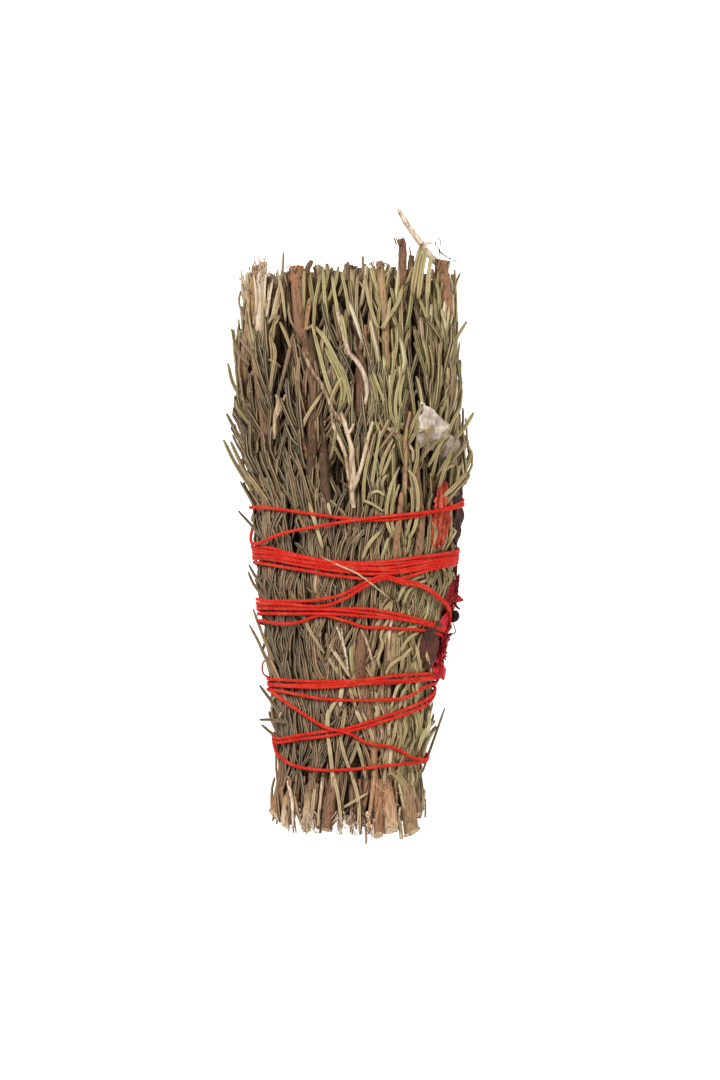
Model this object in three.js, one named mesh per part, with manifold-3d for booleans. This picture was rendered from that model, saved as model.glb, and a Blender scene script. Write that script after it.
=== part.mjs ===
// A rosemary smudge stick lying on a table: cut sprigs of dried rosemary laid side by side,
// trimmed at head and foot, and wound with one red cotton thread. Twigs, dried petals, a dry
// leaf and a pressed red flower lie on the face or are tucked in at the right-hand side.
// Millimetres, +Z up. The bundle lies along Y with its head towards +Y.
import * as THREE from "three";
import { mergeVertices } from "three/addons/utils/BufferGeometryUtils.js";
import Module from "manifold-3d";

const wasm = await Module();
wasm.setup();
const { degToRad, lerp, clamp } = THREE.MathUtils;

// The bundle's outline
const HEAD_Y = 64.25;
const FOOT_Y = -77;
const DEPTH_SHARE = 0.72; // thickness over width
// Stations from foot to head: y, half the width, and how far the middle stands off the axis
const STATIONS = [
  [-77, 19.2, 0.2],
  [-66, 18.9, 0.4],
  [-56, 19.6, 0.8],
  [-39.5, 21.2, 1.0],
  [-21, 24.4, 1.6],
  [-7, 25.8, 1.9],
  [4, 26.8, 2.2],
  [20, 27.6, 1.2],
  [45, 27.8, -0.4],
  [64.25, 26.8, 0.2],
];
const LOOSE_FROM = 8; // above the top turn of thread the sprigs spread
const LOOSE_AT = 26;

// Where things lie, as a share of the way from the middle of the bundle to its outside
const OUTER_RING = 0.78;
const LOOSE_SHIFT = 0.06; // outer sprigs move out by this where the bundle is loose
const OUTER_CORE = 0.056; // radius of the slim middle of an outer sprig
const OUTER_BASE = 0.74; // no needle of an outer sprig lies deeper than this
const INNER_RING = 0.47;
const INNER_CORE = 0.085;
const INNER_BASE = 0.3;
const INNER_CAP = 0.62;
const MIDDLE_RING = 0.14;
const PETAL_SEAT = 0.922; // petals held under the thread
const PRESSED = 0.885; // needles pressed flat under the thread
const THREAD_SEAT = 0.98;
const SIMPLIFY = 0.03; // smallest detail kept where pieces join

// Sprigs
const STEM_RADIUS = 1.15;
const STEM_SIDES = 4;
const UP_THE_STEM = new THREE.Vector3(0, 1, 0);
const NEEDLE_HALF_WIDTH = 0.74; // of a three-sided needle, 1.28 mm from edge to edge
const NEEDLE_HALF_THICKNESS = 0.56;
const NEEDLE_LENGTH = [12, 16.5];
const NEEDLE_BEND = 0.36; // share of its length at which a needle bends along the sprig
const NEEDLE_STEP = 11.6; // between one pair of needles and the next
const CLEARANCE = 0.32;
const FLOOR_LIFT = 0.34; // height of a needle's middle where it lies on the table
const SIDE_REACH = 31.5; // how far the widest needle stands off the axis

// Outer sprigs. at is the direction in which one lies at the foot and at the head, in degrees
// from +X. low and high are where its leaves begin and end, foot and head where its stem is
// cut, and stem is the stem's radius. Those underneath reach further out, down to the table,
// and the lowest one rests on a flat side.
const OUTER_SPRIGS = [
  { at: [8, 9], low: -70, high: 59, foot: -75, head: 65.5, stem: 1.7, loose: 0.1 },
  { at: [26, 32], low: -72, high: 60, foot: -76.5, head: 62 },
  { at: [43, 55], low: -70, high: 58, foot: -78, head: 71.2, stem: 1.25 },
  { at: [58, 71], low: -69, high: 60, foot: -74, head: 65.5, stem: 1.3 },
  { at: [76, 89], low: -66, high: 60, foot: -78.75, head: 61, stem: 1.7 },
  { at: [99, 108], low: -71, high: 60, foot: -74.5, head: 62 },
  { at: [124, 129], low: -72, high: 56, foot: -74, head: 64.8, stem: 2.0 },
  { at: [147, 149], low: -70, high: 58, foot: -73, head: 66.2, stem: 1.2 },
  { at: [169, 168], low: -68, high: 58, foot: -73.5, head: 65.8, stem: 1.6 },
  { at: [190, 190], low: -70, high: 60, foot: -74, head: 63 },
  { at: [211, 211], low: -71, high: 59, foot: -76, head: 64, stem: 1.5 },
  { at: [231, 231], low: -68, high: 60, foot: -73.5, head: 62 },
  { at: [251, 250], low: -71, high: 58, foot: -75.5, head: 65, stem: 1.5, reach: 1.1 },
  { at: [270, 270], low: -69, high: 60, foot: -74, head: 63, loose: 0.18, core: 0.08 },
  { at: [289, 290], low: -72, high: 60, foot: -76.5, head: 62, reach: 1.1 },
  { at: [309, 309], low: -70, high: 58, foot: -73, head: 64.5, stem: 1.6 },
  { at: [329, 329], low: -71, high: 60, foot: -75, head: 63 },
  { at: [349, 350], low: -69, high: 60, foot: -74, head: 64, stem: 1.5 },
];

// Sprigs further in, and the bare stems in the middle
const INNER_SPRIGS = 8;
const INNER_NEEDLE_STEP = 27;
const MIDDLE_STEMS = [
  { at: 80, foot: -76, head: 63, radius: 2.1 },
  { at: 200, foot: -74, head: 64.5, radius: 1.8 },
  { at: 320, foot: -75, head: 62.5, radius: 1.9 },
];

// The thread's route, from its foot end to its head end. y holds the heights at which a turn
// passes the seven directions of THREAD_KNOTS, from the left edge over the front to the right
// edge. over is 1 where it lies on top of other turns. A band has several turns side by side.
const THREAD_HALF_WIDTH = 0.36;
const THREAD_INNER = 0.28; // from the strand's middle to its flat inner side
const THREAD_PITCH = 0.78; // between neighbouring turns of one band
const THREAD_STEPS = 18; // a turn
const THREAD_OVER = 0.05; // share by which a turn that lies on others stands higher
const THREAD_FLOOR = 0.75; // lowest height of the strand's middle
const THREAD_KNOTS = [180, 150, 120, 90, 60, 30, 0];
const THREAD_ROUTE = [
  { turns: 1, y: [-55.0, -58.1, -60.4, -60.5, -59.4, -58.6, -58.2] },
  { turns: 2, y: [-53.4, -53.3, -52.0, -50.0, -47.0, -44.6, -42.0] },
  { turns: 1, y: [-42.1, -43.0, -47.2, -52.4, -55.6, -57.3, -57.1], over: [0, 0, 1, 1, 0, 0, 0] },
  { turns: 1, y: [-41.3, -41.7, -42.8, -43.6, -43.2, -41.6, -40.1] },
  { turns: 3, y: [-39.6, -39.6, -39.3, -39.0, -38.4, -37.6, -37.4] },
  { turns: 1, y: [-23.6, -23.8, -23.3, -24.0, -25.9, -27.6, -28.7] },
  { turns: 3, y: [-21.2, -21.1, -20.3, -21.1, -24.0, -25.9, -27.0] },
  { turns: 1, y: [-19.6, -19.5, -18.7, -16.6, -15.4, -21.0, -25.2] },
  { turns: 1, y: [-18.8, -18.7, -17.9, -15.8, -14.6, -13.9, -12.9] },
  { turns: 3, y: [-8.3, -8.3, -9.5, -11.6, -13.0, -12.2, -11.2] },
  { turns: 3, y: [-5.9, -5.9, -7.2, -9.3, -9.5, -7.3, -6.3] },
  { turns: 1, y: [-3.2, -3.6, -1.4, 0.9, 1.6, 3.7, 5.3] },
  { turns: 1, y: [4.75, 4.5, 3.4, 1.75, 2.5, 4.7, 6.2] },
];
const THREAD_START = { degrees: 245, y: -53 };
const THREAD_FINISH = { degrees: -62, y: 7.6 };

// Materials
const finish = (color, roughness = 0.85) =>
  new THREE.MeshStandardMaterial({ color, roughness, metalness: 0 });
const LEAFY = finish(0x857d58);
const WOODY = finish(0x8a6a50, 0.9);
const PALE_WOOD = finish(0xc9ab8c, 0.9);
const THREAD_RED = finish(0xd8271f, 0.7);
const DARK_PETAL = finish(0x4a2d2b, 0.75);
const DRY_LEAF = finish(0xc6bba8, 0.8);
const FLOWER_RED = finish(0xb3262c, 0.75);

// A small random source that gives the same draws each run.
function seeded(seed) {
  let state = seed;
  return () => {
    state = (state + 0x6d2b79f5) | 0;
    let mixed = Math.imul(state ^ (state >>> 15), 1 | state);
    mixed = (mixed + Math.imul(mixed ^ (mixed >>> 7), 61 | mixed)) ^ mixed;
    return ((mixed ^ (mixed >>> 14)) >>> 0) / 4294967296;
  };
}

// A closed three.js geometry as a solid that can be joined and cut.
function solidOf(geometry) {
  const bare = geometry.clone();
  bare.deleteAttribute("normal");
  bare.deleteAttribute("uv");
  const merged = mergeVertices(bare, 1e-3);
  return new wasm.Manifold(
    new wasm.Mesh({
      numProp: 3,
      vertProperties: merged.attributes.position.array,
      triVerts: new Uint32Array(merged.index.array),
    }),
  );
}

// The largest connected piece of a solid, so that no loose scrap is kept.
function wholePiece(solid) {
  const pieces = solid.decompose();
  pieces.sort((a, b) => b.volume() - a.volume());
  return pieces[0];
}

function meshOf(solid, name, material) {
  const { vertProperties, triVerts } = wholePiece(solid).getMesh();
  const geometry = new THREE.BufferGeometry();
  geometry.setAttribute("position", new THREE.BufferAttribute(vertProperties, 3));
  geometry.setIndex(new THREE.BufferAttribute(triVerts, 1));
  geometry.computeVertexNormals();
  const mesh = new THREE.Mesh(geometry, material);
  mesh.name = name;
  return mesh;
}

// The bundle's half width, half thickness and middle at y.
function outline(y) {
  const last = STATIONS.length - 1;
  let i = 0;
  while (i < last - 1 && y > STATIONS[i + 1][0]) i += 1;
  const [y0, wide0, off0] = STATIONS[i];
  const [y1, wide1, off1] = STATIONS[i + 1];
  const t = clamp((y - y0) / (y1 - y0), 0, 1);
  const wide = lerp(wide0, wide1, t);
  return { wide, deep: wide * DEPTH_SHARE, off: lerp(off0, off1, t) };
}

// A point of the bundle: u and v are shares of the half width and half thickness at y.
function place(u, v, y) {
  const { wide, deep, off } = outline(y);
  return new THREE.Vector3(off + wide * u, y, deep + deep * v);
}

// The same by direction in degrees and share of the way out.
function around(degrees, share, y) {
  const angle = degToRad(degrees);
  return place(share * Math.cos(angle), share * Math.sin(angle), y);
}

// Direction, share of the way out and y of a point.
function surfaceOf(point) {
  const { wide, deep, off } = outline(point.y);
  const u = (point.x - off) / wide;
  const v = (point.z - deep) / deep;
  return { angle: Math.atan2(v, u), share: Math.hypot(u, v) };
}

const outward = (degrees) =>
  new THREE.Vector3(
    Math.cos(degToRad(degrees)),
    0,
    Math.sin(degToRad(degrees)) / DEPTH_SHARE,
  ).normalize();

// Bends a unit cylinder or cone, which stands on Y, along a path. The path gives the middle at
// t from 0 to 1, out gives the way its ridge faces, and size gives half width and half height.
function sweep(geometry, path, out, size, step = 0.02) {
  const position = geometry.getAttribute("position");
  for (let i = 0; i < position.count; i += 1) {
    const t = clamp(position.getY(i) + 0.5, 0, 1);
    const middle = path(t);
    const tangent = path(t + step).sub(path(t - step));
    const side = tangent.clone().cross(out(t)).normalize();
    const up = side.clone().cross(tangent).normalize();
    const [halfWidth, halfHeight] = size(t);
    const round = Math.hypot(position.getX(i), position.getZ(i)) || 1;
    middle.addScaledVector(side, (halfWidth * position.getX(i)) / round);
    middle.addScaledVector(up, (halfHeight * position.getZ(i)) / round);
    position.setXYZ(i, middle.x, middle.y, middle.z);
  }
  return geometry;
}

const rod = (sides, steps) => new THREE.CylinderGeometry(1, 1, 1, sides, steps);
const spike = (sides, steps) => new THREE.ConeGeometry(1, 1, sides, steps);

// A round stick along a curve through points, tapering from one radius to another.
function stick(points, fromRadius, toRadius, sides, steps) {
  const curve = new THREE.CatmullRomCurve3(points);
  const size = (t) => {
    const radius = lerp(fromRadius, toRadius, t);
    return [radius, radius];
  };
  const up = new THREE.Vector3(0, 0.1, 1);
  const path = (t) => curve.getPoint(clamp(t, 0, 1));
  return solidOf(sweep(rod(sides, steps), path, () => up, size));
}

const looseness = (y) => clamp((y - LOOSE_FROM) / (LOOSE_AT - LOOSE_FROM), 0, 1);

// Where a sprig's middle line is at y: its direction in degrees and its share of the way out.
function lineAt(sprig, y) {
  const t = clamp((y - FOOT_Y) / (HEAD_Y - FOOT_Y), 0, 1);
  return {
    degrees: lerp(sprig.at[0], sprig.at[1], t),
    share: sprig.share + sprig.loose * looseness(y),
  };
}

function middleAt(sprig, y) {
  const { degrees, share } = lineAt(sprig, y);
  return around(degrees, share, y);
}

// A sprig's stem: bare at both ends, and thicker where the needles' roots cover it.
function sprigStem(sprig) {
  const geometry = rod(STEM_SIDES, sprig.stops.length - 1);
  const position = geometry.getAttribute("position");
  const corner = new THREE.Vector3();
  const turn = Math.PI / STEM_SIDES + Math.PI / 2 - degToRad(sprig.at[1]);
  for (let i = 0; i < position.count; i += 1) {
    const stop = Math.round((position.getY(i) + 0.5) * (sprig.stops.length - 1));
    const y = sprig.stops[stop];
    const { wide, deep } = outline(y);
    const leafy = y >= sprig.low && y <= sprig.high;
    const point = middleAt(sprig, y);
    corner.set(position.getX(i), 0, position.getZ(i)).applyAxisAngle(UP_THE_STEM, turn);
    point.x += (leafy ? wide * sprig.core : sprig.stem) * corner.x;
    point.z += (leafy ? deep * sprig.core : sprig.stem) * corner.z;
    position.setXYZ(i, point.x, point.y, point.z);
  }
  return solidOf(geometry);
}

// Brings a point of a needle back inside the sprig's own wedge, under the cap and off the table.
function keptInside(point, sprig, cap, floor) {
  const { angle, share } = surfaceOf(point);
  const { wide } = outline(point.y);
  const middle = degToRad(lineAt(sprig, point.y).degrees);
  const away = THREE.MathUtils.euclideanModulo(angle - middle + Math.PI, 2 * Math.PI) - Math.PI;
  const held = clamp(share, sprig.base, cap);
  const margin = (NEEDLE_HALF_WIDTH + CLEARANCE / 2) / (wide * DEPTH_SHARE * held);
  const room = sprig.halfWedge(point.y) - margin;
  const turned = middle + clamp(away, -room, room);
  const kept = place(held * Math.cos(turned), held * Math.sin(turned), point.y);
  kept.x = clamp(kept.x, -SIDE_REACH, SIDE_REACH);
  kept.z = Math.max(kept.z, floor);
  return kept;
}

// One needle as two or three points: a root sunk in the stem, a bend and a tip.
function needlePoints(sprig, y, turn, { lean, endLean, length, cap, straight }) {
  const root = middleAt(sprig, y);
  const { wide, deep } = outline(y);
  const aim = degToRad(lineAt(sprig, y).degrees + turn);
  const direction = new THREE.Vector3(Math.cos(aim), 0, Math.sin(aim));
  const sunk = sprig.core * 0.35;
  root.x += sunk * wide * direction.x;
  root.z += sunk * deep * direction.z;
  const near = length * NEEDLE_BEND;
  const far = length - near;
  const middle = root.clone().addScaledVector(direction, near * Math.sin(lean));
  middle.y += near * Math.cos(lean);
  const tip = middle.clone().addScaledVector(direction, far * Math.sin(endLean));
  tip.y += far * Math.cos(endLean);
  const end = keptInside(tip, sprig, cap * 1.04, 0);
  return straight ? [root, end] : [root, keptInside(middle, sprig, cap, FLOOR_LIFT), end];
}

function needleSolid(points, facing, spare = 0) {
  const steps = points.length - 1;
  const path = (t) => {
    const i = clamp(Math.floor(t * steps), 0, steps - 1);
    return points[i].clone().lerp(points[i + 1], t * steps - i);
  };
  const size = (t) => {
    const full = t > 0.25 || steps === 1 ? 1 : 0.6;
    return [full * NEEDLE_HALF_WIDTH + spare, full * NEEDLE_HALF_THICKNESS + spare];
  };
  return solidOf(sweep(spike(3, steps), path, () => facing, size));
}

// True if a needle, with clearance round it, touches anything that lies on the bundle.
function touches(points, facing, obstacles) {
  const wide = needleSolid(points, facing, CLEARANCE);
  return obstacles.some((obstacle) => wide.intersect(obstacle).volume() > 1e-6);
}

// True if two needles of a sprig meet anywhere but at their roots in the stem.
function crosses(needle, other, stem) {
  const common = needle.intersect(other);
  return common.volume() > 1e-6 && common.subtract(stem).volume() > 1e-6;
}

// The needles of one sprig, in crossed pairs up its length. One that would meet the thread or
// a petal is pressed flat under it, then shortened, and is left out if nothing fits.
function sprigNeedles(sprig, obstacles, random) {
  const made = [];
  const stem = sprigStem(sprig);
  const rows = Math.floor((sprig.high - 4 - sprig.low) / sprig.needleStep);
  for (let row = 0; row <= rows; row += 1) {
    const rowY = sprig.low + row * sprig.needleStep;
    for (const turn of sprig.turns[row % sprig.turns.length]) {
      const y = rowY + (random() - 0.5) * 2.4;
      const aim = turn + (random() - 0.5) * 22;
      const length = lerp(NEEDLE_LENGTH[0], NEEDLE_LENGTH[1], random());
      const lean = degToRad(lerp(32, 46, random()));
      const endLean = degToRad(lerp(2, 15 + 19 * looseness(y), random()));
      const reach = lerp(0.98, 1.04 + 0.13 * looseness(y), random());
      const cap = sprig.cap ?? Math.max(reach, sprig.reach ?? 0);
      const facing = outward(lineAt(sprig, y).degrees + aim * 0.6);
      const { share } = lineAt(sprig, y);
      const flat = Math.min(cap, Math.max(PRESSED, share + sprig.core + 0.03));
      const free = { lean, endLean, length, cap };
      const pressed = { lean, endLean: 0, length, cap: flat, straight: true };
      const tries = [
        free,
        pressed,
        { ...free, length: length * 0.72 },
        { ...pressed, length: length * 0.62 },
        { ...pressed, length: length * 0.45 },
      ];
      for (const shape of tries) {
        const points = needlePoints(sprig, y, aim, shape);
        if (touches(points, facing, obstacles)) continue;
        const needle = needleSolid(points, facing);
        if (made.some((other) => crosses(needle, other, stem))) continue;
        made.push(needle);
        break;
      }
    }
  }
  return made;
}

// Stem and needles of a sprig in one solid, cut level with the head and with the table.
function sprigSolid(sprig, obstacles, random, extras = []) {
  const needles = wasm.Manifold.union(sprigNeedles(sprig, obstacles, random));
  const cut = needles.trimByPlane([0, -1, 0], -HEAD_Y);
  return wasm.Manifold.union([sprigStem(sprig), cut, ...extras])
    .trimByPlane([0, 0, 1], 0)
    .simplify(SIMPLIFY);
}

// The heights at which a sprig's stem has a ring of corners.
function stopsOf({ foot, low, high, head }) {
  const inside = [-56, -39.5, -21, -7, LOOSE_FROM, LOOSE_AT, 45];
  return [foot, low - 2, low, ...inside, high, high + 1.5, head];
}

// Half the wedge that an outer sprig has to itself at y, in radians.
function wedgeOf(index) {
  const count = OUTER_SPRIGS.length;
  const own = OUTER_SPRIGS[index];
  const before = OUTER_SPRIGS[(index + count - 1) % count];
  const after = OUTER_SPRIGS[(index + 1) % count];
  const gap = (from, to, end) => THREE.MathUtils.euclideanModulo(to.at[end] - from.at[end], 360);
  const [foot, head] = [0, 1].map((end) => Math.min(gap(before, own, end), gap(own, after, end)));
  return (y) => degToRad(lerp(foot, head, clamp((y - FOOT_Y) / (HEAD_Y - FOOT_Y), 0, 1)) / 2);
}

// The thread's knots from its foot end to its head end: direction, y and whether it lies over.
function threadKnots() {
  const knots = [{ ...THREAD_START, over: 0 }];
  let turn = 0;
  for (const { turns, y, over } of THREAD_ROUTE) {
    for (let k = 0; k < turns; k += 1) {
      const shift = (k - (turns - 1) / 2) * THREAD_PITCH;
      THREAD_KNOTS.forEach((degrees, i) => {
        knots.push({ degrees: degrees - 360 * turn, y: y[i] + shift, over: over?.[i] ?? 0 });
      });
      turn += 1;
    }
  }
  const { degrees, y } = THREAD_FINISH;
  knots.push({ degrees: degrees - 360 * (turn - 1), y, over: 0 });
  return knots;
}

// A smooth run of one value through the knots, as a function of the direction.
function runThrough(knots, key) {
  const slope = (i) => {
    const before = knots[Math.max(i - 1, 0)];
    const after = knots[Math.min(i + 1, knots.length - 1)];
    return (after[key] - before[key]) / (before.degrees - after.degrees);
  };
  return (degrees) => {
    let i = 0;
    while (i < knots.length - 2 && degrees < knots[i + 1].degrees) i += 1;
    const span = knots[i].degrees - knots[i + 1].degrees;
    const t = clamp((knots[i].degrees - degrees) / span, 0, 1);
    const t2 = t * t;
    const t3 = t2 * t;
    return (
      (2 * t3 - 3 * t2 + 1) * knots[i][key] +
      (t3 - 2 * t2 + t) * slope(i) * span +
      (3 * t2 - 2 * t3) * knots[i + 1][key] +
      (t3 - t2) * slope(i + 1) * span
    );
  };
}

// The thread as one closed solid: a three-sided strand, made a turn at a time and joined.
function threadSolid() {
  const knots = threadKnots();
  const heightAt = runThrough(knots, "y");
  const overAt = runThrough(knots, "over");
  const first = knots[0].degrees;
  const last = knots[knots.length - 1].degrees;
  const pointAt = (degrees) => {
    const share = THREAD_SEAT + THREAD_OVER * clamp(overAt(degrees), 0, 1);
    const point = around(degrees, share, heightAt(degrees));
    point.z = Math.max(point.z, THREAD_FLOOR);
    return point;
  };
  const stride = 360 / THREAD_STEPS;
  const parts = [];
  for (let start = first; start > last + 1; start -= 360) {
    const steps = Math.min(THREAD_STEPS, Math.round((start - last) / stride));
    const path = (t) => pointAt(start - t * steps * stride);
    const out = (t) => outward(start - t * steps * stride);
    const size = () => [THREAD_HALF_WIDTH / 0.866, THREAD_INNER * 2];
    parts.push(solidOf(sweep(rod(3, steps), path, out, size, 1 / (steps * 8))));
  }
  return wasm.Manifold.union(parts);
}

// A point on the face of the bundle above x and y, at a share of the way out.
function onFace(x, y, share) {
  const { wide, off } = outline(y);
  const u = (x - off) / wide;
  return place(u, Math.sqrt(Math.max(share * share - u * u, 0)), y);
}

// A twig that lies on the face, through points given as x, y and share.
function faceStick(points, fromRadius, toRadius, steps) {
  const middle = points.map(([x, y, share]) => onFace(x, y, share));
  return stick(middle, fromRadius, toRadius, 5, steps);
}

function crookedTwig() {
  const bends = [[-3.6, 49.6, 1.06], [-0.75, 43.4, 1.09], [2.4, 39.2, 1.06], [4.6, 32.6, 1.02]];
  return faceStick(bends, 0.72, 0.6, 7);
}

function forkedTwig() {
  const main = [[-10.8, 42.9, 1.03], [-4.8, 31.3, 1.05], [-0.6, 25.2, 1.06], [1.1, 14, 1.05], [1.4, 4.9, 1]];
  const thin = [[-3.9, 28.4, 1.02], [-1.9, 21.3, 1.05], [1, 8.5, 1.02]];
  const right = [[6.1, 25.9, 1.02], [3.6, 15.7, 1.05], [1.3, 8.4, 1.02]];
  return wasm.Manifold.union([
    faceStick(main, 0.6, 0.85, 7),
    faceStick(thin, 0.5, 0.6, 3),
    faceStick(right, 0.5, 0.6, 3),
  ]);
}

// The thin pale twig that grows from the top of the right-hand stem and leans past the head.
function topTwig(sprig) {
  const root = middleAt(sprig, 62);
  const bend = new THREE.Vector3(19.2, 70.2, root.z + 3.4);
  const tip = new THREE.Vector3(13, 78.75, root.z + 4.6);
  const fork = new THREE.Vector3(21, 71, root.z + 4);
  return [
    stick([root, root.clone().lerp(bend, 0.6), bend, tip], 0.85, 0.35, 5, 6),
    stick([bend.clone().lerp(root, 0.05), fork], 0.5, 0.35, 4, 1),
  ];
}

// A flat outline, given as direction in degrees and y, laid round the bundle at one share.
function patch(corners, share, thickness) {
  const shape = new THREE.Shape(corners.map(([degrees, y]) => new THREE.Vector2(-degrees, y)));
  const geometry = new THREE.ExtrudeGeometry(shape, {
    depth: thickness,
    bevelEnabled: false,
    curveSegments: 1,
  });
  const position = geometry.getAttribute("position");
  for (let i = 0; i < position.count; i += 1) {
    const degrees = -position.getX(i);
    const point = around(degrees, share, position.getY(i));
    point.addScaledVector(outward(degrees), position.getZ(i) - thickness / 2);
    position.setXYZ(i, point.x, point.y, point.z);
  }
  return solidOf(geometry);
}

function dryLeaf() {
  const corners = [
    [55, 21.6], [51, 27], [48, 31.4], [41.5, 28.6], [34, 26.8], [29, 23],
    [22, 21.6], [23, 17.6], [30, 17.4], [38, 20.4], [48, 20.6],
  ];
  return patch(corners, 1.04, 0.8);
}

function maroonPetal() {
  const corners = [[14, 1.5], [16, 8], [8, 12.4], [-4, 11.6], [-10, 4], [-6, -1.2], [5, -2]];
  return patch(corners, PETAL_SEAT, 0.62);
}

function redStrip() {
  const corners = [[43, -4.6], [43, 2], [41, 8], [35, 12.6], [29, 9], [27, 2], [28, -3], [36, -5.4]];
  return patch(corners, PETAL_SEAT, 0.62);
}

function brownPetal() {
  const corners = [
    [38, -24.3], [45, -27.4], [44, -30.7], [39, -33.3], [30, -36.3], [24.6, -34.3], [22.3, -31.7],
    [25, -28], [24, -24.6],
  ];
  return patch(corners, PETAL_SEAT, 0.62);
}

// The pressed flower at the right-hand edge: pointed bracts round a small middle, lying on the
// side of the bundle over the thread.
const FLOWER = { degrees: 5, y: -27.5, share: 1.04, bracts: 9, middle: 2.3, tipLift: 2.4 };

function bract(angle, length, halfWidth) {
  const root = FLOWER.middle * 0.6;
  const shape = new THREE.Shape([
    new THREE.Vector2(root, -0.4),
    new THREE.Vector2(length * 0.55, -halfWidth),
    new THREE.Vector2(length, 0),
    new THREE.Vector2(length * 0.5, halfWidth),
    new THREE.Vector2(root, 0.4),
  ]);
  const geometry = new THREE.ExtrudeGeometry(shape, { depth: 0.7, bevelEnabled: false });
  geometry.rotateZ(angle);
  const position = geometry.getAttribute("position");
  for (let i = 0; i < position.count; i += 1) {
    const along = position.getX(i);
    const across = position.getY(i);
    const y = FLOWER.y + along;
    const degrees = FLOWER.degrees + THREE.MathUtils.radToDeg(across / outline(y).deep);
    const point = around(degrees, FLOWER.share, y);
    const rise = FLOWER.tipLift * (Math.hypot(along, across) / length) ** 2;
    point.addScaledVector(outward(degrees), rise + position.getZ(i));
    position.setXYZ(i, point.x, point.y, point.z);
  }
  return solidOf(geometry);
}

function redFlower() {
  const parts = [];
  for (let i = 0; i < FLOWER.bracts; i += 1) {
    const angle = (i / FLOWER.bracts) * 2 * Math.PI + 0.12;
    const along = Math.abs(Math.cos(angle));
    parts.push(bract(angle, lerp(6.5, 13.5, along), lerp(2.5, 2.1, along)));
  }
  const middle = new THREE.CylinderGeometry(FLOWER.middle * 0.7, FLOWER.middle, 1.5, 7, 1);
  const centre = around(FLOWER.degrees, FLOWER.share, FLOWER.y);
  centre.addScaledVector(outward(FLOWER.degrees), 0.6);
  middle.rotateZ(-Math.PI / 2).rotateY(-degToRad(FLOWER.degrees));
  middle.translate(centre.x, centre.y, centre.z);
  parts.push(solidOf(middle));
  return wasm.Manifold.union(parts).simplify(SIMPLIFY);
}

function middleStem({ at, foot, head, radius }) {
  const points = [foot, -20, 10, head].map((y) => around(at, MIDDLE_RING, y));
  return stick(points, radius, radius * 0.85, 6, 3);
}

// Everything in place. What lies on the bundle comes first, because the needles grow round it.
const bundle = new THREE.Group();
const lying = [
  ["winding_thread", threadSolid(), THREAD_RED],
  ["forked_twig", forkedTwig(), PALE_WOOD],
  ["crooked_twig", crookedTwig(), PALE_WOOD],
  ["dry_leaf", dryLeaf(), DRY_LEAF],
  ["maroon_petal", maroonPetal(), DARK_PETAL],
  ["brown_petal", brownPetal(), DARK_PETAL],
  ["red_petal_strip", redStrip(), FLOWER_RED],
  ["red_flower", redFlower(), FLOWER_RED],
];
const obstacles = lying.map(([, solid]) => solid);
for (const [name, solid, material] of lying) bundle.add(meshOf(solid, name, material));

const numbered = (name, index) => name + "_" + String(index + 1).padStart(2, "0");

OUTER_SPRIGS.forEach((given, index) => {
  const sprig = {
    share: OUTER_RING,
    loose: LOOSE_SHIFT,
    core: OUTER_CORE,
    stem: STEM_RADIUS,
    base: OUTER_BASE,
    needleStep: NEEDLE_STEP,
    turns: [[-82, 74], [-27, 33]],
    halfWedge: wedgeOf(index),
    ...given,
  };
  sprig.stops = stopsOf(sprig);
  const extras = index === 0 ? topTwig(sprig) : [];
  const solid = sprigSolid(sprig, obstacles, seeded(index + 11), extras);
  bundle.add(meshOf(solid, numbered("leafy_sprig", index), LEAFY));
});

for (let index = 0; index < INNER_SPRIGS; index += 1) {
  const half = 180 / INNER_SPRIGS;
  const at = (2 * index + 1) * half;
  const sprig = {
    at: [at, at],
    low: -70 + (index % 3),
    high: 60 - (index % 2),
    foot: -76 + ((index * 5) % 4),
    head: 62 + ((index * 3) % 4),
    share: INNER_RING,
    loose: 0,
    core: INNER_CORE,
    stem: STEM_RADIUS,
    base: INNER_BASE,
    cap: INNER_CAP,
    needleStep: INNER_NEEDLE_STEP,
    turns: [[-90, 90], [0, 180]],
    halfWedge: () => degToRad(half),
  };
  sprig.stops = stopsOf(sprig);
  const solid = sprigSolid(sprig, [], seeded(index + 71));
  bundle.add(meshOf(solid, numbered("inner_sprig", index), LEAFY));
}

MIDDLE_STEMS.forEach((stem, index) => {
  bundle.add(meshOf(middleStem(stem), numbered("middle_stem", index), WOODY));
});

// The part's origin is under the middle of its bounding box.
const box = new THREE.Box3().setFromObject(bundle);
const centre = box.getCenter(new THREE.Vector3());
bundle.position.set(-centre.x, -centre.y, -box.min.z);

const whole = new THREE.Group();
whole.add(bundle);

export default whole;
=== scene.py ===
"""The looks of a dried rosemary smudge stick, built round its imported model.

Lengths in the classes are millimetres in the bundle's own frame: the bundle lies along Y with
its head towards +Y, and +Z is up. They become metres in the row's frame when a mesh is made.
"""
import logging
import math
from dataclasses import dataclass, field
from enum import Enum, IntEnum
from typing import Callable, Sequence, Union

import bpy
import numpy as np
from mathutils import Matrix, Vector
from mathutils.geometry import delaunay_2d_cdt


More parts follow.
